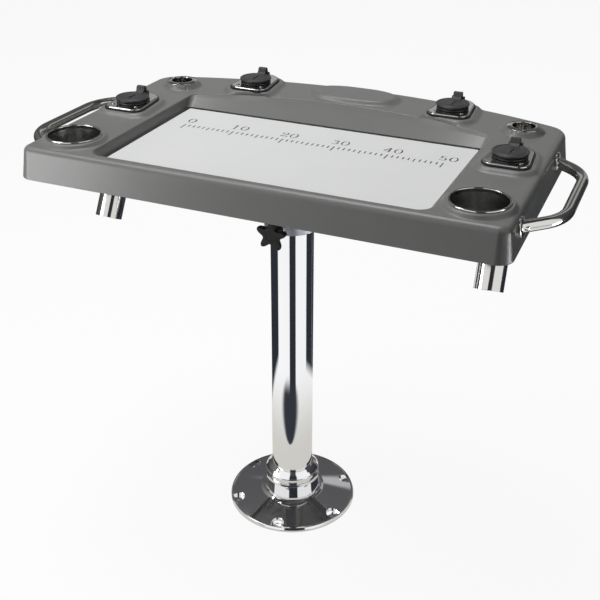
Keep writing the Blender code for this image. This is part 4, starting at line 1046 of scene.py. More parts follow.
@dataclass
class Tray:
    """Moulded tray: skirt, rounded edge, deck with raised pads and the sunk pan."""

    levels: Levels
    plan: Plan = TRAY_PLAN
    recess: Plan = Plan(-0.173, 0.252, 0.301, 0.301, 0.024, 0.018, 0.810)
    pocket: Plan = BOARD_PLAN
    wall: float = 0.005
    draft: float = SKIRT_DRAFT
    edge_round: float = DECK_EDGE
    flare: float = 0.020
    crease_drop: float = 0.0014
    inner_draft: float = 0.82
    lip_share: float = 0.86
    crease: float = 0.003
    board_margin: float = 0.0075
    pad_margin: float = 0.006
    pad_skirt: float = 0.012
    cup_pad: float = 0.0525
    cup_pad_skirt: float = 0.0080
    ring_pad: float = 0.0325
    ring_step: float = 0.0355
    ring_step_height: float = 0.0045
    step_skirt: float = 0.004
    ring_pad_skirt: float = 0.0025
    holder_reach: float = 0.10
    emblem_y: float = 0.305
    emblem_half: tuple[float, float] = (0.097, 0.046)
    emblem_height: float = 0.008
    emblem_slope: float = 0.20
    squareness: float = 2.6
    deck_rows: int = 44
    rib_height: float = 0.018
    rib_thickness: float = 0.004
    long_ribs: tuple[float, ...] = (-0.120, 0.120)
    cross_ribs: tuple[float, ...] = (-0.235, -0.125, 0.125, 0.235)
    cup_hole: float = 0.0474
    ring_hole: float = 0.0230
    tube_hole: float = 0.0262
    bolt_hole: float = 0.0033

    def build(self) -> None:
        """Build the moulding and its ribs."""
        shell = cut(mesh_from("moulded_tray", [self.shell()]), self.hole_cutters())
        piece("moulded_tray", shell, MOULDED_GREY, "tray", ("tray_shell",))
        piece("pan_ribs", [self.ribs()], MOULDED_GREY, "tray", bevel=0.0006)

    def raised(self, points: Array) -> Array:
        """Height of the pads above the deck at plan points.

        Each pad falls from its top outline along half a cosine wave over its own skirt, and
        where pads meet the higher one counts.

        Args:
            points: Plan points, one per row.

        Returns:
            One height for each point.
        """
        height = np.zeros(len(points))
        for holder in HOLDERS:
            near = np.linalg.norm(points - (holder.x, holder.y), axis=1) < self.holder_reach
            top = flange_outline(self.pad_margin, 6) + (holder.x, holder.y)
            away = outside(points[near], top)
            fall = PAD_HEIGHT * swell(1.0 - away / self.pad_skirt)
            height[near] = np.maximum(height[near], fall)
        for side in Side:
            away = np.linalg.norm(points - side.place(CUP_PLACE), axis=1)
            fall = PAD_HEIGHT * swell(1.0 - (away - self.cup_pad) / self.cup_pad_skirt)
            height = np.maximum(height, fall)
            away = np.linalg.norm(points - side.place(RING_PLACE), axis=1)
            step = self.ring_step_height * swell(1.0 - (away - self.ring_step) / self.step_skirt)
            top = ((RING_PAD_HEIGHT - self.ring_step_height)
                   * swell(1.0 - (away - self.ring_pad) / self.ring_pad_skirt))
            height = np.maximum(height, step + top)
        across, along = self.emblem_half
        reach = (np.abs(points[:, 0] / across) ** self.squareness
                 + np.abs((points[:, 1] - self.emblem_y) / along) ** self.squareness)
        reach = reach ** (1.0 / self.squareness)
        return np.maximum(height, self.emblem_height
                          * swell((1.0 - reach) / self.emblem_slope))

    def lifted(self, outline: Array, height: float, fade: float = 1.0) -> Array:
        """Lay an outline at a height, raised by a share of the pads under it."""
        return level(outline, height + fade * self.raised(outline))

    def shell(self) -> Surface:
        """Join the moulding's rings, from the pan's floor over the edge to its underside.

        The rings run: pan floor, flared wall, soft crease, deck, quarter-round edge, drafted
        skirt, its foot, inner wall, underside of the deck, outside of the pan.

        Returns:
            The moulding, before its openings are cut.
        """
        deck, floor = self.levels.deck, self.levels.board_bottom - GAP
        under, underside = floor - self.wall, deck - self.wall
        seat, margin = self.levels.board_top + GAP, self.board_margin
        pocket, top = self.pocket.outline(margin), self.recess.outline()
        rings = [level(self.pocket.outline(margin - inset), height) for inset, height in
                 ((0.002, floor), (0.0006, floor + 0.0006), (0.0, floor + 0.002), (0.0, seat))]
        wall = rounded([(0.0, seat), (0.0148, deck - 0.0045),
                        (self.flare, deck - self.crease_drop)], [0, 0.004, 0], 6)
        for reach, height in wall[1:]:
            share = reach / self.flare
            rings.append(self.lifted(between(pocket, top, share), height,
                                     0.6 * max(share - 0.5, 0.0)))
        for turn in np.linspace(0.0, QUARTER_TURN, 6)[1:]:
            rings.append(self.lifted(self.recess.outline(self.crease * (1.0 - cos(turn))),
                                     deck - self.crease_drop * (1.0 - sin(turn)),
                                     0.3 + 0.7 * sin(turn)))
        crease = self.recess.outline(self.crease)
        shoulder = self.plan.outline(-self.edge_round)
        for share in np.linspace(0.0, 1.0, self.deck_rows)[1:]:
            rings.append(self.lifted(between(crease, shoulder, share), deck))
        for turn in np.linspace(QUARTER_TURN, 0.0, 11)[1:]:
            inset = self.edge_round * (1.0 - cos(turn))
            fade = float(swell(np.array(inset / self.edge_round)))
            rings.append(self.lifted(self.plan.outline(-inset),
                                     deck - self.edge_round * (1.0 - sin(turn)), fade))
        bottom = self.levels.skirt_bottom
        inner = self.draft * self.inner_draft - self.wall
        for outset, height in ((self.draft * 0.5, (deck - self.edge_round + bottom) / 2.0),
                               (self.draft - 0.0001, bottom + 0.0012),
                               (self.draft - 0.0005, bottom + 0.0004),
                               (self.draft - 0.0014, bottom),
                               (inner + 0.0012, bottom), (inner + 0.0003, bottom + 0.0004),
                               (inner, bottom + 0.0012),
                               (-self.wall, underside - self.edge_round / 2.0),
                               (-self.wall - 0.0010, underside - 0.0030),
                               (-self.wall - 0.0030, underside - 0.0010),
                               (-self.wall - self.edge_round / 2.0, underside)):
            rings.append(level(self.plan.outline(outset), height))
        pan = self.pocket.outline(margin + self.wall)
        lip = between(pan, self.recess.outline(self.wall), self.lip_share)
        edge = self.plan.outline(-self.wall - self.edge_round / 2.0)
        rings += [level(between(edge, lip, share), underside) for share in (0.35, 0.7, 1.0)]
        rings.append(level(between(pan, lip, 0.5), (underside + under + 0.004) / 2.0))
        rings += [level(self.pocket.outline(margin + self.wall - inset), under + rise)
                  for inset, rise in ((0.0, 0.004), (0.001, 0.001), (0.004, 0.0))]
        return stacked(rings)

    def hole_cutters(self) -> list[Surface]:
        """Openings for the cups, the ring holders, the slanted tubes and the bolts.

        Returns:
            One cutter for each opening.
        """
        low, high = self.levels.skirt_bottom - 0.01, self.levels.deck + 0.03
        cutters = []
        for side in Side:
            for spot, radius in ((CUP_PLACE, self.cup_hole), (RING_PLACE, self.ring_hole)):
                cutters.append(prism(circle(radius, 96, side.place(spot)), low, high, 2))
        for holder in HOLDERS:
            rings = [slanted_ring(self.tube_hole, turns(72), holder.splay_side, reach)
                     for reach in (-0.03, 0.07)]
            cutters.append(stacked(rings).moved(
                Matrix.Translation((holder.x, holder.y, self.levels.flange_top))))
        floor = self.levels.board_bottom
        for k in range(HUB_BOLTS):
            cutters.append(prism(circle(self.bolt_hole, 18, bolt_place(k)), floor - 0.012,
                                 floor + 0.004, 2))
        return cutters

    def ribs(self) -> Surface:
        """Two long and four cross ribs below the pan.

        Returns:
            All ribs as one surface.
        """
        top = self.levels.board_bottom - GAP - self.wall + 0.001
        low, half = top - self.rib_height, self.rib_thickness / 2.0
        reach = self.pocket.front_half - 0.004
        corners = [((-reach, y - half, low), (reach, y + half, top)) for y in self.long_ribs]
        corners += [((x - half, self.pocket.front + 0.004, low + 0.001),
                     (x + half, self.pocket.back - 0.004, top)) for x in self.cross_ribs]
        return boxes(*(np.array(part) for part in zip(*corners)))


class Digit(Enum):
    """The numerals on the rule, as pen strokes in a box one unit high, centred across.

    Zero has no strokes of its own, because it is an oval.
    """

    ZERO = ()
    ONE = (((-0.17, 0.78), (-0.06, 0.86), (0.0, 0.97)),
           ((0.0, 0.98), (0.0, 0.5), (0.0, 0.02)),
           ((-0.17, 0.015), (0.0, 0.015), (0.17, 0.015)))
    TWO = (((-0.25, 0.66), (-0.20, 0.88), (0.01, 0.97), (0.22, 0.86), (0.23, 0.64),
            (0.02, 0.34), (-0.27, 0.05)),
           ((-0.27, 0.03), (0.0, 0.05), (0.28, 0.04), (0.30, 0.20)))
    THREE = (((-0.23, 0.80), (-0.06, 0.96), (0.17, 0.86), (0.16, 0.64), (-0.05, 0.54)),
             ((-0.05, 0.54), (0.19, 0.47), (0.26, 0.26), (0.06, 0.02), (-0.25, 0.15)))
    FOUR = (((0.10, 0.97), (-0.12, 0.62), (-0.36, 0.28)),
            ((-0.36, 0.27), (0.0, 0.27), (0.34, 0.27)),
            ((0.12, 0.98), (0.12, 0.5), (0.12, 0.02)),
            ((-0.02, 0.015), (0.12, 0.015), (0.26, 0.015)))
    FIVE = (((-0.16, 0.95), (0.04, 0.93), (0.24, 0.97)),
            ((-0.16, 0.95), (-0.18, 0.75), (-0.20, 0.54)),
            ((-0.20, 0.54), (0.03, 0.61), (0.25, 0.44), (0.22, 0.14), (-0.02, 0.01),
             (-0.26, 0.12)))


@dataclass
class CuttingBoard:
    """White board with a printed centimetre rule."""

    levels: Levels
    plan: Plan = BOARD_PLAN
    edge: float = 0.0012
    rule_start: float = -0.2496
    centimetre: float = 0.010
    ticks_in_all: int = 51
    tick_top: float = 0.073
    long_tick: float = 0.021
    middle_tick: float = 0.0145
    short_tick: float = 0.0108
    tick_width: float = 0.0021
    digit_height: float = 0.0205
    digit_foot: float = 0.0855
    zero_half: tuple[float, float] = (0.31, 0.48)
    zero_shift: float = 0.002
    ten_shifts: tuple[float, float] = (-0.0065, 0.0122)
    thick_stroke: float = 0.0025
    thin_stroke: float = 0.0005
    print_thickness: float = 0.00012

    def build(self) -> None:
        """Build the board, the ticks and the numerals."""
        piece("board", [self.board()], BOARD_WHITE, "board",
              ("cutting_board",))
        piece("rule_ticks", [self.ticks()], PRINT_INK, "board")
        piece("rule_numerals", self.numerals(), PRINT_INK, "board")

    def board(self) -> Surface:
        """Stack the board's outlines, the top and bottom edges eased by quarter rounds.

        Returns:
            The board.
        """
        low, high = self.levels.board_bottom, self.levels.board_top
        return stacked([level(self.plan.outline(-inset), height)
                        for inset, height in eased(low, high, self.edge, 5)])

    def ticks(self) -> Surface:
        """One printed bar for each centimetre from 0 to 50, longer at fives and tens.

        Returns:
            All ticks as one surface.
        """
        count = np.arange(self.ticks_in_all)
        x = self.rule_start + self.centimetre * count
        length = np.where(count % 10 == 0, self.long_tick,
                          np.where(count % 5 == 0, self.middle_tick, self.short_tick))
        low = np.column_stack([x - self.tick_width / 2.0, self.tick_top - length,
                               np.full_like(x, self.levels.board_top - self.print_thickness)])
        high = np.column_stack([x + self.tick_width / 2.0, np.full_like(x, self.tick_top),
                                np.full_like(x, self.levels.board_top + self.print_thickness)])
        return boxes(low, high)

    def numerals(self) -> list[Surface]:
        """Numerals 0 to 50 by tens, behind the long ticks.

        Returns:
            One surface for each pen stroke.
        """
        made = self.digit(Digit.ZERO, self.rule_start + self.zero_shift)
        for ten, lead in enumerate(Digit):
            if lead is not Digit.ZERO:
                tick = self.rule_start + 10.0 * self.centimetre * ten
                for digit, shift in zip((lead, Digit.ZERO), self.ten_shifts):
                    made += self.digit(digit, tick + shift)
        return made

    def digit(self, digit: Digit, centre: float) -> list[Surface]:
        """Draw one numeral's strokes round a centre.

        Args:
            digit: Which numeral.
            centre: Its middle along X.

        Returns:
            One surface for each pen stroke.
        """
        if digit is Digit.ZERO:
            paths = [arc((0.0, 0.0), 1.0, 0.0, FULL_TURN, 48) * self.zero_half + (0.0, 0.5)]
        else:
            paths = [smooth_line(np.array(stroke), 10) for stroke in digit.value]
        return [self.ribbon(path * self.digit_height + (centre, self.digit_foot))
                for path in paths]

    def ribbon(self, path: Array) -> Surface:
        """Print one pen stroke: thin where it runs across, thick where it runs up or down.

        The width at direction t is thin + (thick - thin) |sin t| to the power 1.6.

        Args:
            path: The stroke's middle line in plan.

        Returns:
            The stroke as a thin layer.
        """
        ahead = np.gradient(path, axis=0)
        ahead /= np.linalg.norm(ahead, axis=1)[:, None]
        width = self.thin_stroke + ((self.thick_stroke - self.thin_stroke)
                                    * np.abs(ahead[:, 1]) ** 1.6)
        offset = np.column_stack([-ahead[:, 1], ahead[:, 0]]) * width[:, None] / 2.0
        low = self.levels.board_top - self.print_thickness
        high = self.levels.board_top + self.print_thickness
        corners = [level(path - offset, low), level(path + offset, low),
                   level(path + offset, high), level(path - offset, high)]
        return grid(np.stack(corners, axis=1))


def smooth_line(points: Array, steps: int) -> Array:
    """Run a smooth line through points, each span a cubic with centred slopes.

    With share t the span from p1 to p2 between p0 and p3 is
    (2 p1 + (p2 - p0) t + (2 p0 - 5 p1 + 4 p2 - p3) t^2 + (3 p1 - 3 p2 + p3 - p0) t^3) / 2.

    Args:
        points: Points to pass through.
        steps: Steps of each span.

    Returns:
        The line's points.
    """
    padded = np.concatenate([2.0 * points[:1] - points[1:2], points,
                             2.0 * points[-1:] - points[-2:-1]])
    share = np.linspace(0.0, 1.0, steps, endpoint=False)[:, None]
    spans = []
    for k in range(len(points) - 1):
        p0, p1, p2, p3 = padded[k:k + 4]
        spans.append((2.0 * p1 + (p2 - p0) * share
                      + (2.0 * p0 - 5.0 * p1 + 4.0 * p2 - p3) * share ** 2
                      + (3.0 * p1 - 3.0 * p2 + p3 - p0) * share ** 3) / 2.0)
    return np.concatenate(spans + [points[-1:]])


@dataclass
class RodHolder:
    """Flanged slanted tube with its gasket, black liner and flip-up lid."""

    place: Holder
    levels: Levels
    tube_radius: float = 0.025
    tube_wall: float = 0.0015
    tube_length: float = 0.225
    plate: float = 0.0025
    edge_round: float = 0.0026
    gasket: float = 0.0025
    gasket_margin: float = 0.0025
    liner_wall: float = 0.003
    liner_length: float = 0.075
    rim_radius: float = 0.0298
    rim_thickness: float = 0.003
    cap_radius: float = 0.0315
    cap_foot: float = 0.0280
    cap_thickness: float = 0.0065
    plug_radius: float = 0.0180
    plug_depth: float = 0.005
    hinge_offset: float = 0.0370
    pin_radius: float = 0.0020
    barrel_radius: float = 0.0042
    tab_width: float = 0.0165
    tab_thickness: float = 0.0075
    tab_rise: float = 0.0105
    ear_thickness: float = 0.0035
    lip_half: float = radians(14.0)
    screw_places: tuple[tuple[float, float], ...] = ((-0.0250, -0.0290), (0.0250, -0.0290),
                                                     (0.0, 0.0500))
    screw_radius: float = 0.0038

    def __post_init__(self) -> None:
        """Work out the frame of the holder and the liner's radii."""
        self.name = self.place.name
        self.side = self.place.splay_side
        self.here = Matrix.Translation((self.place.x, self.place.y, self.levels.flange_top))
        self.liner_outer = self.tube_radius - self.tube_wall - GAP
        self.liner_inner = self.liner_outer - self.liner_wall
        self.rim_top = GAP + self.rim_thickness
        self.hinge_level = self.rim_top + GAP + self.barrel_radius

    def build(self) -> None:
        """Build the four pieces and the screws."""
        self.put(f"gasket_{self.name}", [self.gasket_sheet()], GASKET_RUBBER, "tray",
                 f"rod_gasket_{self.name}")
        self.put(f"flanged_tube_{self.name}", [self.flanged_tube()], STAINLESS, "tray",
                 f"rod_holder_{self.name}")
        self.put(f"liner_{self.name}", self.liner(), BLACK_NYLON, "tray",
                 f"rod_liner_{self.name}", 0.0004)
        self.put(f"lid_{self.name}", self.lid(), BLACK_NYLON, f"cap_{self.name}",
                 f"rod_cap_{self.name}", 0.0005)
        self.put(f"flange_screws_{self.name}", self.screws(), STAINLESS, "tray")

    def put(self, name: str, surfaces: list[Surface], finish: Finish, body: str,
            node: str = "", bevel: float = 0.0) -> None:
        """Move surfaces from the holder's frame to the table and make them a piece."""
        piece(name, [surface.moved(self.here) for surface in surfaces], finish, body,
              (node,) if node else (), bevel)

    def columns(self, outline: Array) -> Array:
        """Angle of each outline point, seen from the tube's centre."""
        return np.arctan2(outline[:, 1], outline[:, 0])

    def gasket_sheet(self) -> Surface:
        """Sheet between an outline and the slanted hole through it.

        Returns:
            The sheet.
        """
        outer = flange_outline(self.gasket_margin)
        turn = self.columns(outer)
        high = -self.plate - GAP
        low = high - self.gasket
        hole = self.tube_radius + 0.0012
        inner = flange_outline(self.gasket_margin - 0.0006)
        rings = [slanted_ring(hole, turn, self.side, at_level=low), level(inner, low),
                 level(outer, low + 0.0006), level(outer, high - 0.0006), level(inner, high),
                 slanted_ring(hole, turn, self.side, at_level=high)]
        return stacked(rings, wrap_rows=True)

    def flanged_tube(self) -> Surface:
        """Pressed flange with a rolled edge, running on into the slanted tube.

        Returns:
            Flange and tube as one wall.
        """
        outer = flange_outline()
        turn = self.columns(outer)
        bore = self.tube_radius - self.tube_wall
        rings = [slanted_ring(self.tube_radius, turn, self.side, at_level=-self.plate),
                 level(flange_outline(-0.0004), -self.plate),
                 level(outer, -self.plate + 0.0004)]
        for angle in np.linspace(0.0, QUARTER_TURN, 9)[1:]:
            rings.append(level(flange_outline(-self.edge_round * (1.0 - cos(angle))),
                               -self.plate + 0.0006 + (self.plate - 0.0006) * sin(angle)))
        rings.append(level(flange_outline(-0.0034), -0.0002))
        rings.append(slanted_ring(bore + 0.0040, turn, self.side, at_level=-0.0003))
        rings.append(slanted_ring(bore, turn, self.side, at_level=-0.0006))
        end = self.tube_length
        for radius, reach in ((bore, 0.03), (bore, end - 0.0005), (bore + 0.0004, end),
                              (self.tube_radius - 0.0004, end), (self.tube_radius, end - 0.0005),
                              (self.tube_radius, 0.03)):
            rings.append(slanted_ring(radius, turn, self.side, reach))
        return stacked(rings, wrap_rows=True)

    def liner(self) -> list[Surface]:
        """Rim on the flange, sleeve down the tube, two hinge ears and the pin.

        Returns:
            Sleeve, ears and pin.
        """
        turn, top = turns(96), self.rim_top
        rings = [slanted_ring(self.liner_outer, turn, self.side, at_level=GAP)]
        for radius, height in ((self.rim_radius - 0.0004, GAP), (self.rim_radius, GAP + 0.0004),
                               (self.rim_radius, top - 0.0010),
                               (self.rim_radius - 0.0003, top - 0.0003),
                               (self.rim_radius - 0.0010, top)):
            rings.append(level(circle(radius, 96), height))
        rings.append(slanted_ring(self.liner_inner + 0.0006, turn, self.side, at_level=top))
        rings.append(slanted_ring(self.liner_inner, turn, self.side, at_level=top - 0.0008))
        for radius, reach in ((self.liner_inner, 0.03), (self.liner_inner, self.liner_length),
                              (self.liner_outer, self.liner_length), (self.liner_outer, 0.03)):
            rings.append(slanted_ring(radius, turn, self.side, reach))
        made = [stacked(rings, wrap_rows=True)]
        inner = self.tab_width / 2.0 + GAP
        barrel, offset = self.barrel_radius, self.hinge_offset
        foot = self.rim_radius - 0.005
        crown = arc((offset, self.hinge_level), barrel, 0.0, pi, 10)
        ear = np.concatenate([[(foot, GAP + 0.0005), (offset + barrel, GAP + 0.0005)], crown,
                              [(offset - barrel, top - 0.0005), (foot, top - 0.0005)]])
        for sign in (-1.0, 1.0):
            ends = sorted((sign * inner, sign * (inner + self.ear_thickness)))
            made.append(prism(ear, ends[0], ends[1], 0))
        reach = inner + self.ear_thickness + 0.0004
        made.append(self.across(self.pin_radius, -reach, reach))
        return made

    def across(self, radius: float, low: float, high: float) -> Surface:
        """Round bar along X on the hinge line."""
        return prism(circle(radius, 24, (self.hinge_offset, self.hinge_level)), low, high, 0)

    def lid(self) -> list[Surface]:
        """Lid with a flared edge, a sunk ring, a ridge, a thumb lip and a strap at the hinge.

        Returns:
            Disc, strap, ridge and lip.
        """
        foot = self.rim_top + GAP
        top = foot + self.cap_thickness
        corners = [(0.0015, foot - self.plug_depth),
                   (self.plug_radius - 0.0006, foot - self.plug_depth),
                   (self.plug_radius, foot - self.plug_depth + 0.0010), (self.plug_radius, foot),
                   (self.cap_foot, foot), (self.cap_radius, foot + 0.0042),
                   (self.cap_radius - 0.0004, top - 0.0008), (self.cap_radius - 0.0030, top),
                   (self.cap_radius - 0.0052, top - 0.0004),
                   (self.cap_radius - 0.0062, top - 0.0011),
                   (self.cap_radius - 0.0074, top - 0.0003),
                   (self.cap_radius - 0.014, top + 0.0004), (0.0015, top + 0.0010)]
        bends = [0, 0.0006, 0, 0, 0.001, 0.0015, 0.0012, 0.001, 0.0005, 0.0004, 0.0005, 0.006, 0]
        made = [turned(rounded(corners, bends), 96)]
        barrel, offset = self.barrel_radius, self.hinge_offset
        front = offset - self.tab_thickness
        curl = arc((offset, self.hinge_level), barrel, -QUARTER_TURN, 0.0, 6)
        strap = np.concatenate([
            [(front - 0.010, top - 0.0010), (front - 0.006, foot + 0.004),
             (offset - 0.001, foot + 0.004)], curl,
            [(offset + barrel * 0.5, top + self.tab_rise - 0.0035),
             (offset + 0.0002, top + self.tab_rise), (front + 0.0022, top + self.tab_rise),
             (front + 0.0002, top + self.tab_rise - 0.002), (front - 0.0020, top + 0.0022),
             (front - 0.0060, top + 0.0009)]])
        half = self.tab_width / 2.0
        made.append(prism(strap, -half, half, 0))
        wedge = np.array([(-0.0045, 0.0060), (0.0045, 0.0060), (0.0022, -0.0165),
                          (-0.0022, -0.0165)])
        made.append(stacked([level(wedge, top - 0.0005), level(wedge * 0.90, top + 0.0022)]))
        start, end = (-QUARTER_TURN + turn for turn in (-self.lip_half, self.lip_half))
        lip = arc((0.0, 0.0), self.cap_radius + 0.0006, start, end, 12)
        back = arc((0.0, 0.0), self.cap_radius - 0.0040, end, start, 12)
        plan = np.concatenate([lip, back])
        made.append(stacked([level(plan, foot + 0.0022), level(plan, top - 0.0012)]))
        return made

    def screws(self) -> list[Surface]:
        """Three countersunk heads: two at the front corners and one behind the hinge.

        Returns:
            The heads.
        """
        return [surface for x, y in self.screw_places
                for surface in screw_head((x, y, 0.0), self.screw_radius)]


@dataclass
class DrinkHolder:
    """Spun steel cup with a rolled rim."""

    side: Side
    levels: Levels
    mouth: float = 0.0460
    rim: float = 0.0490
    rim_height: float = 0.003
    wall: float = 0.0012
    foot: float = 0.0400
    depth: float = 0.056

    def build(self) -> None:
        """Turn the cup as one closed wall, and the brighter rolled rim on its mouth."""
        low = self.levels.deck + PAD_HEIGHT + GAP
        top = low + self.rim_height
        floor = top - self.depth
        body = self.mouth + self.wall - 0.001
        inner = body - self.wall
        corners = [(0.0015, floor + 0.0006), (self.foot - 0.012, floor),
                   (self.foot, floor), (body, low - 0.001), (body, low), (inner, low),
                   (inner, low - 0.004), (self.foot - self.wall, floor + self.wall),
                   (self.foot - 0.012, floor + self.wall), (0.0015, floor + self.wall + 0.0006)]
        bends = [0, 0.01, 0.006, 0.001, 0, 0, 0.003, 0.005, 0.01, 0]
        # The cup's steel is darkened as painted shade for its inside; the rim keeps the plain
        # steel.
        centre, word = self.side.place(CUP_PLACE), self.side.word
        piece(f"spun_cup_{word}", [turned(rounded(corners, bends, 8), 144, centre)],
              SHADED_CUP_STAINLESS, "tray", (f"cup_{word}",))
        roll = [(inner, low + 0.0002), (self.rim, low), (self.rim, top), (inner + 0.0004, top)]
        rim = turned(rounded(roll, [0.0004, 0.0008, 0.0016, 0.0016], 8, closed=True), 144,
                     centre, closed=True)
        piece(f"rolled_rim_{word}", [rim], STAINLESS, "tray")


@dataclass
class ToolRing:
    """Small flanged tube, open at both ends, with three screws."""

    side: Side
    levels: Levels
    bore: float = 0.0203
    tube_wall: float = 0.0015
    flange: float = 0.0305
    thickness: float = 0.0025
    length: float = 0.060
    screw_circle: float = 0.0258
    screw_radius: float = 0.0026
    screws: int = 3
    first_screw: float = radians(40.0)

    def build(self) -> None:
        """Turn the flanged tube and set the screws on it."""
        low = self.levels.deck + RING_PAD_HEIGHT + GAP
        top = low + self.thickness
        outer = self.bore + self.tube_wall
        corners = [(self.bore, top - self.length), (outer, top - self.length), (outer, low),
                   (self.flange, low), (self.flange, low + 0.0011),
                   (self.bore + 0.0032, top - 0.0002), (self.bore, top)]
        x, y = self.side.place(RING_PLACE)
        tube = turned(rounded(corners, [0.0004, 0.0004, 0.0003, 0.0004, 0.0008, 0.0020, 0.0014], 6,
                              closed=True), 120, (x, y), closed=True)
        piece(f"flanged_ring_{self.side.word}", [tube], STAINLESS, "tray",
              (f"ring_holder_{self.side.word}",))
        heads = []
        for k in range(self.screws):
            angle = self.first_screw + FULL_TURN * k / self.screws
            heads += screw_head((x + self.screw_circle * cos(angle),
                                 y + self.screw_circle * sin(angle), top - 0.0009),
                                self.screw_radius)
        piece(f"ring_screws_{self.side.word}", heads, STAINLESS, "tray")


@dataclass
class SideHandle:
    """Bent tube handle with a round foot plate at each end."""

    side: Side
    levels: Levels
    radius: float = 0.0098
    drop: float = 0.0225
    feet: tuple[float, float] = (-0.126, 0.171)
    bends: tuple[float, float] = (-0.070, 0.126)
    reach: float = 0.0575
    bend_radius: float = 0.080
    plate_radius: float = 0.0170
    plate_thickness: float = 0.004
    edge_line: tuple[float, float] = (-0.1735, 0.2723)
    sunk: float = 0.002
    bolt_head: float = 0.0085
    bolt_head_height: float = 0.0042
    bolt_shank: float = 0.004
    path_step: float = 0.004

    def skirt(self, y: float) -> float:
        """Distance of the skirt's face from the middle plane at the handle's level."""
        fall, whole = self.drop - DECK_EDGE, SKIRT_DEPTH - DECK_EDGE
        return self.deck_line(y) + SKIRT_DRAFT * fall / whole

    def deck_line(self, y: float) -> float:
        """Distance of the tray's straight side from the middle plane at the deck."""
        (start, end), front, back = self.edge_line, TRAY_PLAN.front_half, TRAY_PLAN.back_half
        return front + (back - front) * (y - start) / (end - start)

    def path(self) -> Array:
        """Centre line: a leg, an arc, the grip, an arc and a leg.

        Returns:
            The centre line's points.
        """
        front, back = ((self.skirt(y) - self.sunk, y) for y in self.feet)
        corners = [front, *((self.deck_line(y) + self.reach, y) for y in self.bends), back]
        flat = rounded(corners, [0.0, self.bend_radius, self.bend_radius, 0.0], 16)
        dense = [flat[:1]]
        for start, end in zip(flat[:-1], flat[1:]):
            steps = max(2, int(np.linalg.norm(end - start) / self.path_step))
            dense += [line(start, end, steps), end[None]]
        flat = np.concatenate(dense)
        height = self.levels.deck - self.drop
        return np.column_stack([self.side.value * flat[:, 0], flat[:, 1],
                                np.full(len(flat), height)])

    def build(self) -> None:
        """Build the bent tube, the foot plates and the bolts behind the skirt."""
        word = self.side.word
        piece(f"handle_tube_{word}", [swept(self.path(), self.radius, 40)], TUBE_STAINLESS,
              "tray", (f"handle_{word}",))
        for end, foot in zip(("front", "back"), self.feet):
            self.plate(end, foot)
            node = f"handle_bolt_{word}_{end}"
            low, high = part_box(node)
            near, far = sorted((abs(low.x), abs(high.x)))
            seat = near + self.bolt_head_height
            profile = rounded([(0.0004, near), (self.bolt_head, near), (self.bolt_head, seat),
                               (self.bolt_shank, seat), (self.bolt_shank, far), (0.0004, far)],
                              [0, 0.002, 0.0004, 0, 0.0004, 0])
            turn = Matrix.Rotation(self.side.value * QUARTER_TURN, 4, "Y")
            there = Matrix.Translation((0.0, foot, self.levels.deck - self.drop))
            piece(f"foot_bolt_{word}_{end}", [turned(profile, 36).moved(there @ turn)],
                  STAINLESS, "tray", (node,))

    def plate(self, end: str, foot: float) -> None:
        """Turn one foot plate round the leg, leaning with the skirt's draft.

        Args:
            end: Which end: front or back.
            foot: Where the leg meets the skirt.
        """
        bend = self.bends[0] if end == "front" else self.bends[1]
        slope = (bend - foot) / (self.deck_line(bend) + self.reach - self.skirt(foot))
        corners = [(self.radius - 0.001, 0.0), (self.plate_radius, 0.0),
                   (self.plate_radius, self.plate_thickness - 0.0006),
                   (self.radius + 0.0022, self.plate_thickness + 0.0010),
                   (self.radius - 0.001, self.plate_thickness + 0.0010)]
        ring = turned(rounded(corners, [0, 0.0004, 0.0012, 0.0008, 0], 5, closed=True), 72,
                      closed=True)
        lean = atan2(SKIRT_DRAFT, SKIRT_DEPTH - DECK_EDGE)
        turn = Matrix.Rotation(self.side.value * (QUARTER_TURN - lean), 4, "Y")
        there = Matrix.Translation((self.side.value * (self.skirt(foot) + GAP),
                                    foot + slope * self.plate_thickness / 2.0,
                                    self.levels.deck - self.drop))
        node = f"handle_ferrule_{self.side.word}_{end}"
        piece(f"foot_plate_{self.side.word}_{end}", [ring.moved(there @ turn)], TUBE_STAINLESS,
              "tray", (node,))


# Studio
WHITE = "#FFFFFF"


@dataclass(frozen=True)
class Cove:
    """One dark cloth of the studio, or a patch of painted shadow: it lies on the floor and may run
    up a wall.

    It covers a turn about the post, in degrees. Its inner edge runs evenly from one distance at
    the start of the turn to another at its end, and its edges thin out. A cove with an outer edge
    of its own is painted shadow: the base's dark shade on the floor close round its foot.
    """

    name: str
    start: float
    end: float
    inner_start: float
    inner_end: float
    floor_tone: str
    wall_foot: str = ""
    wall_head: str = ""
    outer: float = 0.0


@dataclass(frozen=True)
class Lamp:
    """One square area lamp: its place, what it looks at, its side, its watts and its beam.

    A lamp that does not light only glints on edges and leaves matt surfaces alone.
    """

    name: str
    place: Point
    target: Point
    size: float
    power: float
    lights: bool = True
    beam: float = pi


def spokes(turn: Array) -> Array:
    """Level unit directions, one for each angle."""
    return np.column_stack([np.cos(turn), np.sin(turn), np.zeros(len(turn))])


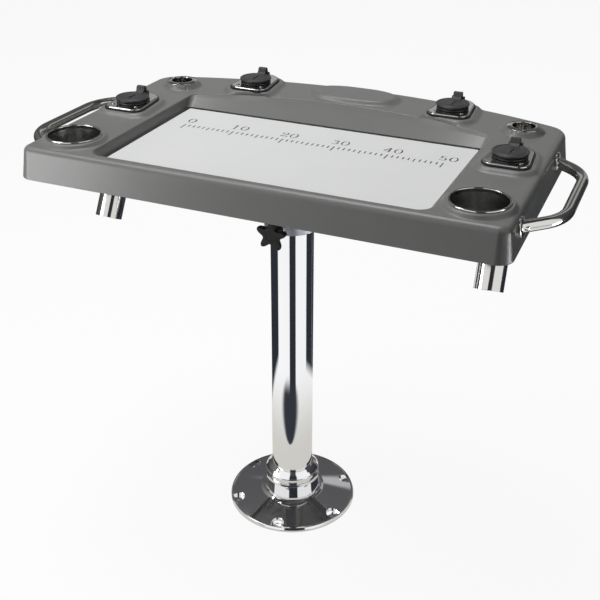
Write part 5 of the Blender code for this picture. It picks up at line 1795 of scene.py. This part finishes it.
@dataclass
class Studio:
    """Pale floor, soft lamps, the dark cloths that polished metal mirrors, and the camera."""

    eye: Point = (0.69066, -1.53925, 1.36631)
    right: Point = (0.91523, 0.40293, 0.00104)
    up: Point = (-0.19273, 0.43549, 0.87932)
    ahead: Point = (-0.35386, 0.80498, -0.47623)
    lens: float = 61.77
    sensor_width: float = 36.0
    sight: tuple[float, float] = (0.05, 100.0)
    shift: tuple[float, float] = (0.0019, -0.00095)
    floor_half: float = 30.0
    wall_reach: float = 2.6
    wall_height: float = 3.6
    drop_turn: float = radians(-77.0)
    drop_half: float = radians(53.0)
    drop_reach: tuple[float, float] = (0.240, 0.530)
    coves: tuple[Cove, ...] = (
        Cove("cloth_front", -79.0, -46.0, 0.38, 0.38, "#2C2F36", "#2C2F36", "#3C3D40"),
        Cove("cloth_right", 13.5, 65.0, 0.52, 0.46, "#2C2F36", "#2C2F36", "#5A5A5C"),
        Cove("cloth_side", 64.0, 80.0, 0.46, 0.45, "#2C2F36", "#8C8C8A", "#C8C6C2"),
        Cove("cloth_edge", 79.0, 116.0, 0.45, 0.42, "#2C2F36"),
        Cove("cloth_back", 79.0, 147.0, 2.5, 2.5, "#565658", "#565658", "#5C5C5E"),
        Cove("cloth_left", 145.0, 219.0, 0.33, 0.56, "#2C2F36", "#3C3D40", "#A09E9A"),
        Cove("cloth_far", -34.0, 16.0, 2.0, 2.0, "#2C2F36"),
        # Painted shadow: the base's dark shade on the floor round its foot, seen in mirrors alone.
        Cove("painted_base_shadow_right", 12.5, 114.0, 0.128, 0.128, "#26282C", outer=0.152),
        Cove("painted_base_shadow_left", 145.0, 217.0, 0.128, 0.128, "#26282C", outer=0.152),
        Cove("painted_base_shadow_front", -79.0, -49.0, 0.128, 0.128, "#26282C", outer=0.152))
    cove_columns: int = 61
    cove_level: float = 0.0006
    cove_fade: float = 24.0
    inner_hem: float = 0.06
    outer_hem: float = 0.003
    drop_steps: int = 41
    drop_level: float = 0.0009
    drop_fades: tuple[float, float] = (2.1, 3.0)
    drop_tone: str = "#34373D"
    overhead_columns: int = 49
    overhead_tone: str = "#3E3E40"
    card_turn: tuple[float, float] = (radians(83.0), radians(134.0))
    card_columns: int = 41
    card_reach: float = 2.55
    card_heights: tuple[float, ...] = (1.12, 1.28, 1.58, 1.74)
    card_tone: str = "#B8B8B8"
    card_fade: float = 8.0
    floor_turns_white: tuple[float, float] = (0.20, 0.56)
    floor_tone: str = "#E8E8E8"
    # Painted shade: the warm grey that mirrors see on the floor near the post.
    painted_floor_shade: str = "#D6D4CE"
    floor_glow: float = 0.93
    soft_light: float = 0.06
    lamps: tuple[Lamp, ...] = (
        Lamp("near_left", (-0.9, -0.75, 0.72), (-0.35, -0.19, 0.72), 0.5, 5.0),
        Lamp("low_right", (1.40, -0.02, 0.30), (0.45, -0.28, 0.72), 0.5, 0.58, False,
             radians(30.0)),
        Lamp("high_left", (-1.6, -0.6, 3.6), (0.0, 0.0, 0.7), 1.2, 32.0),
        Lamp("overhead", (-0.7, 0.6, 3.9), (0.0, 0.0, 0.7), 1.6, 72.0))

    def build(self) -> None:
        """Set up the camera, the floor, the world, the lamps and the dark cloths."""
        self.camera()
        self.floor()
        self.world()
        for cove in self.coves:
            self.cloth(cove)
        self.drop()
        self.ceiling()
        self.card()
        for lamp in self.lamps:
            self.hang(lamp)
        bpy.context.scene.view_settings.view_transform = "Standard"

    def camera(self) -> None:
        """Stand the camera where the photograph was taken from."""
        data = bpy.data.cameras.new("camera")
        data.lens = self.lens
        data.sensor_width = self.sensor_width
        data.clip_start, data.clip_end = self.sight
        data.shift_x, data.shift_y = self.shift
        item = linked("camera", data)
        turn = Matrix((self.right, self.up, tuple(-v for v in self.ahead))).transposed()
        item.matrix_world = Matrix.Translation(self.eye) @ turn.to_4x4()
        bpy.context.scene.camera = item

    def sheet(self, name: str, points: Array, material: bpy.types.Material,
              weight: Array | None = None) -> None:
        """Make an open sheet of the studio from a grid of points.

        Args:
            name: The sheet's name.
            points: Rows x columns x 3.
            material: Its material.
            weight: Rows x columns, from 0 for clear to 1 for full. A sheet with weights shows
                in mirrors alone, so that it shades nothing.
        """
        rows, columns = points.shape[:2]
        index = np.arange(rows * columns).reshape(rows, columns)
        quads = np.stack([index[:-1, :-1], index[:-1, 1:], index[1:, 1:], index[1:, :-1]],
                         axis=-1)
        mesh = bpy.data.meshes.new(name)
        mesh.from_pydata(points.reshape(-1, 3), [], quads.reshape(-1, 4).tolist())
        mesh.materials.append(material)
        item = linked(name, mesh)
        if weight is not None:
            share = mesh.attributes.new("weight", "FLOAT", "POINT")
            share.data.foreach_set("value", np.ravel(weight).astype(np.float32))
            item.visible_camera = False
            item.visible_diffuse = False
            item.visible_shadow = False
            item.visible_transmission = False

    def plain(self, name: str, foot: str, head: str = "") -> bpy.types.Material:
        """Make a tone that no lamp changes, run from foot to head over the wall's height.

        Where a point's weight is under 1 the sheet is partly clear.

        Args:
            name: The material's name.
            foot: Tone at the floor.
            head: Tone at the wall's top, the same if left out.

        Returns:
            The material.
        """
        made = bpy.data.materials.new(name)
        made.use_nodes = True
        tree = made.node_tree
        tree.nodes.remove(tree.nodes["Principled BSDF"])
        place = add_node(tree, "ShaderNodeTexCoord")
        parts = add_node(tree, "ShaderNodeSeparateXYZ", {}, {0: place.outputs["Object"]})
        rise = add_node(tree, "ShaderNodeMapRange", {"From Max": self.wall_height},
                        {"Value": parts.outputs["Z"]})
        tone = add_node(tree, "ShaderNodeMix",
                        {"data_type": "RGBA", 6: linear(foot), 7: linear(head or foot)},
                        {0: rise.outputs["Result"]})
        glow = add_node(tree, "ShaderNodeEmission", {"Strength": 1.0},
                        {"Color": tone.outputs[2]})
        clear = add_node(tree, "ShaderNodeBsdfTransparent")
        weight = add_node(tree, "ShaderNodeAttribute", {"attribute_name": "weight"})
        mix = add_node(tree, "ShaderNodeMixShader", {}, {0: weight.outputs["Fac"],
                                                         1: clear.outputs[0],
                                                         2: glow.outputs[0]})
        tree.links.new(mix.outputs[0], tree.nodes["Material Output"].inputs["Surface"])
        return made

    def cloth(self, cove: Cove) -> None:
        """Lay one dark cloth or patch of painted shadow: a sheet over the floor and, if it has a
        wall, another up it.

        Args:
            cove: Where it lies, and its tones.
        """
        share = np.linspace(0.0, 1.0, self.cove_columns)
        out = spokes(np.radians(cove.start + (cove.end - cove.start) * share))
        inner = (cove.inner_start + (cove.inner_end - cove.inner_start) * share)[:, None]
        outer = cove.outer if cove.outer else self.wall_reach
        foot = np.array([0.0, 0.0, self.cove_level])
        fade = min(self.inner_hem, (outer - cove.inner_end) / 3.0)
        floor = [out * reach + foot
                 for reach in (inner, inner + fade, outer - self.outer_hem, outer)]
        sides = np.clip(np.minimum(share, 1.0 - share) * self.cove_fade, 0.0, 1.0)
        last = 0.0 if cove.outer else 1.0
        self.sheet(f"{cove.name}_floor", np.stack(floor),
                   self.plain(f"{cove.name}_floor", cove.floor_tone),
                   np.outer([0.0, 1.0, 1.0, last], sides))
        if cove.wall_foot:
            wall = [out * self.wall_reach + foot,
                    out * self.wall_reach + (0.0, 0.0, self.wall_height)]
            self.sheet(f"{cove.name}_wall", np.stack(wall),
                       self.plain(f"{cove.name}_wall", cove.wall_foot, cove.wall_head),
                       np.ones((2, self.cove_columns)))

    def drop(self) -> None:
        """Lay a dark drop-shaped cloth in front of the post, its point towards the post.

        At share v of its reach it spans an angle of drop_half times the square root of
        sin(pi v), so that it is widest half way out. It thins out to its sides and its far end.
        """
        share = np.linspace(0.0, 1.0, self.drop_steps)[:, None]
        side = np.linspace(-1.0, 1.0, self.drop_steps)[None, :]
        span = self.drop_half * np.sqrt(np.sin(pi * np.clip(share, 0.001, 0.999)))
        near, far = self.drop_reach
        turn = self.drop_turn + span * side
        reach = np.broadcast_to(near + (far - near) * share, turn.shape)
        points = np.stack([reach * np.cos(turn), reach * np.sin(turn),
                           np.full_like(turn, self.drop_level)], axis=-1)
        weight = (swell((1.0 - np.abs(side)) * self.drop_fades[0])
                  * swell((1.0 - share) * self.drop_fades[1]))
        self.sheet("cloth_drop", points, self.plain("cloth_drop", self.drop_tone), weight)

    def ceiling(self) -> None:
        """Stretch a dark cloth overhead between the walls."""
        out = spokes(np.linspace(0.0, FULL_TURN, self.overhead_columns))
        rows = [out * reach + (0.0, 0.0, self.wall_height) for reach in (0.01, self.wall_reach)]
        self.sheet("cloth_overhead", np.stack(rows),
                   self.plain("cloth_overhead", self.overhead_tone),
                   np.ones((2, self.overhead_columns)))

    def card(self) -> None:
        """Hang a pale card behind the table, for the flat tops at the tray's back to mirror."""
        turn = np.linspace(*self.card_turn, self.card_columns)
        out = spokes(turn) * self.card_reach
        rows = [out + (0.0, 0.0, height) for height in self.card_heights]
        sides = np.clip(np.minimum(turn - turn[0], turn[-1] - turn) * self.card_fade, 0.0, 1.0)
        self.sheet("card_back", np.stack(rows), self.plain("card_back", self.card_tone),
                   np.outer([0.0, 1.0, 1.0, 0.0], sides))

    def floor(self) -> None:
        """Lay the floor: a white matt sheet that keeps the table's shadow.

        Seen directly or mirrored it is mostly plain white, and in mirrors it turns to a warm
        grey near the post: painted shade, standing for the table's own shade on the paper.
        """
        half = self.floor_half
        made = bpy.data.materials.new("floor_white")
        made.use_nodes = True
        tree = made.node_tree
        shader = tree.nodes["Principled BSDF"]
        shader.inputs["Base Color"].default_value = linear(self.floor_tone)
        shader.inputs["Roughness"].default_value = 0.9
        shader.inputs["Specular IOR Level"].default_value = 0.1
        path = add_node(tree, "ShaderNodeLightPath")
        place = add_node(tree, "ShaderNodeTexCoord")
        reach = add_node(tree, "ShaderNodeVectorMath", {"operation": "LENGTH"},
                         {0: place.outputs["Object"]})
        far = add_node(tree, "ShaderNodeMapRange",
                       {"From Min": self.floor_turns_white[0],
                        "From Max": self.floor_turns_white[1],
                        "interpolation_type": "SMOOTHSTEP"},
                       {"Value": reach.outputs["Value"]})
        white = linear(WHITE)
        # Painted shade near the post for mirrored rays, plain white further out.
        mirrored = add_node(tree, "ShaderNodeMix",
                            {"data_type": "RGBA", 6: linear(self.painted_floor_shade), 7: white},
                            {0: far.outputs["Result"]})
        tone = add_node(tree, "ShaderNodeMix", {"data_type": "RGBA", 6: white},
                        {0: path.outputs["Is Glossy Ray"], 7: mirrored.outputs[2]})
        glow = add_node(tree, "ShaderNodeEmission", {"Strength": 1.0},
                        {"Color": tone.outputs[2]})
        seen = self.seen(tree, path)
        share = add_node(tree, "ShaderNodeMath", {"operation": "MULTIPLY", 1: self.floor_glow},
                         {0: seen.outputs[0]})
        mix = add_node(tree, "ShaderNodeMixShader", {}, {0: share.outputs[0],
                                                         1: shader.outputs[0],
                                                         2: glow.outputs[0]})
        tree.links.new(mix.outputs[0], tree.nodes["Material Output"].inputs["Surface"])
        corners = np.array([[(-half, -half, 0.0), (half, -half, 0.0)],
                            [(-half, half, 0.0), (half, half, 0.0)]])
        self.sheet("floor", corners, made)

    def seen(self, tree: bpy.types.NodeTree, path: bpy.types.Node) -> bpy.types.Node:
        """Give 1 for camera, mirrored and refracted rays, and 0 for the rest.

        Args:
            tree: The tree to add to.
            path: The tree's light path node.

        Returns:
            The node with the share.
        """
        seen = add_node(tree, "ShaderNodeMath", {"operation": "MAXIMUM"},
                        {0: path.outputs["Is Camera Ray"], 1: path.outputs["Is Glossy Ray"]})
        return add_node(tree, "ShaderNodeMath", {"operation": "MAXIMUM"},
                        {0: seen.outputs[0], 1: path.outputs["Is Transmission Ray"]})

    def world(self) -> None:
        """Surround the table with soft light; the camera and mirrors see plain white."""
        world = bpy.data.worlds.new("studio")
        world.use_nodes = True
        bpy.context.scene.world = world
        tree = world.node_tree
        soft = tree.nodes["Background"]
        soft.inputs["Color"].default_value = linear(WHITE)
        soft.inputs["Strength"].default_value = self.soft_light
        white = add_node(tree, "ShaderNodeBackground", {"Color": linear(WHITE),
                                                        "Strength": 1.0})
        seen = self.seen(tree, add_node(tree, "ShaderNodeLightPath"))
        mix = add_node(tree, "ShaderNodeMixShader", {}, {0: seen.outputs[0],
                                                         1: soft.outputs[0],
                                                         2: white.outputs[0]})
        tree.links.new(mix.outputs[0], tree.nodes["World Output"].inputs["Surface"])

    def hang(self, lamp: Lamp) -> None:
        """Hang one lamp.

        Args:
            lamp: Its place, size and light.
        """
        data = bpy.data.lights.new(lamp.name, "AREA")
        data.shape = "SQUARE"
        data.size = lamp.size
        data.energy = lamp.power
        data.spread = lamp.beam
        item = linked(lamp.name, data)
        aim = Vector(lamp.target) - Vector(lamp.place)
        item.matrix_world = (Matrix.Translation(lamp.place)
                             @ aim.to_track_quat("-Z", "Y").to_matrix().to_4x4())
        item.visible_camera = False
        item.visible_diffuse = lamp.lights


def main() -> None:
    """Build the table's parts in order, then the studio; each piece logs its count of faces."""
    logging.basicConfig(level=logging.INFO, format="%(name)s: %(message)s")
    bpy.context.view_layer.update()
    levels = Levels.from_frame()
    Pedestal().build()
    Swivel().build()
    Tray(levels).build()
    CuttingBoard(levels).build()
    for place in HOLDERS:
        RodHolder(place, levels).build()
    for side in Side:
        DrinkHolder(side, levels).build()
        ToolRing(side, levels).build()
        SideHandle(side, levels).build()
    Studio().build()


if __name__ == "__main__":
    main()
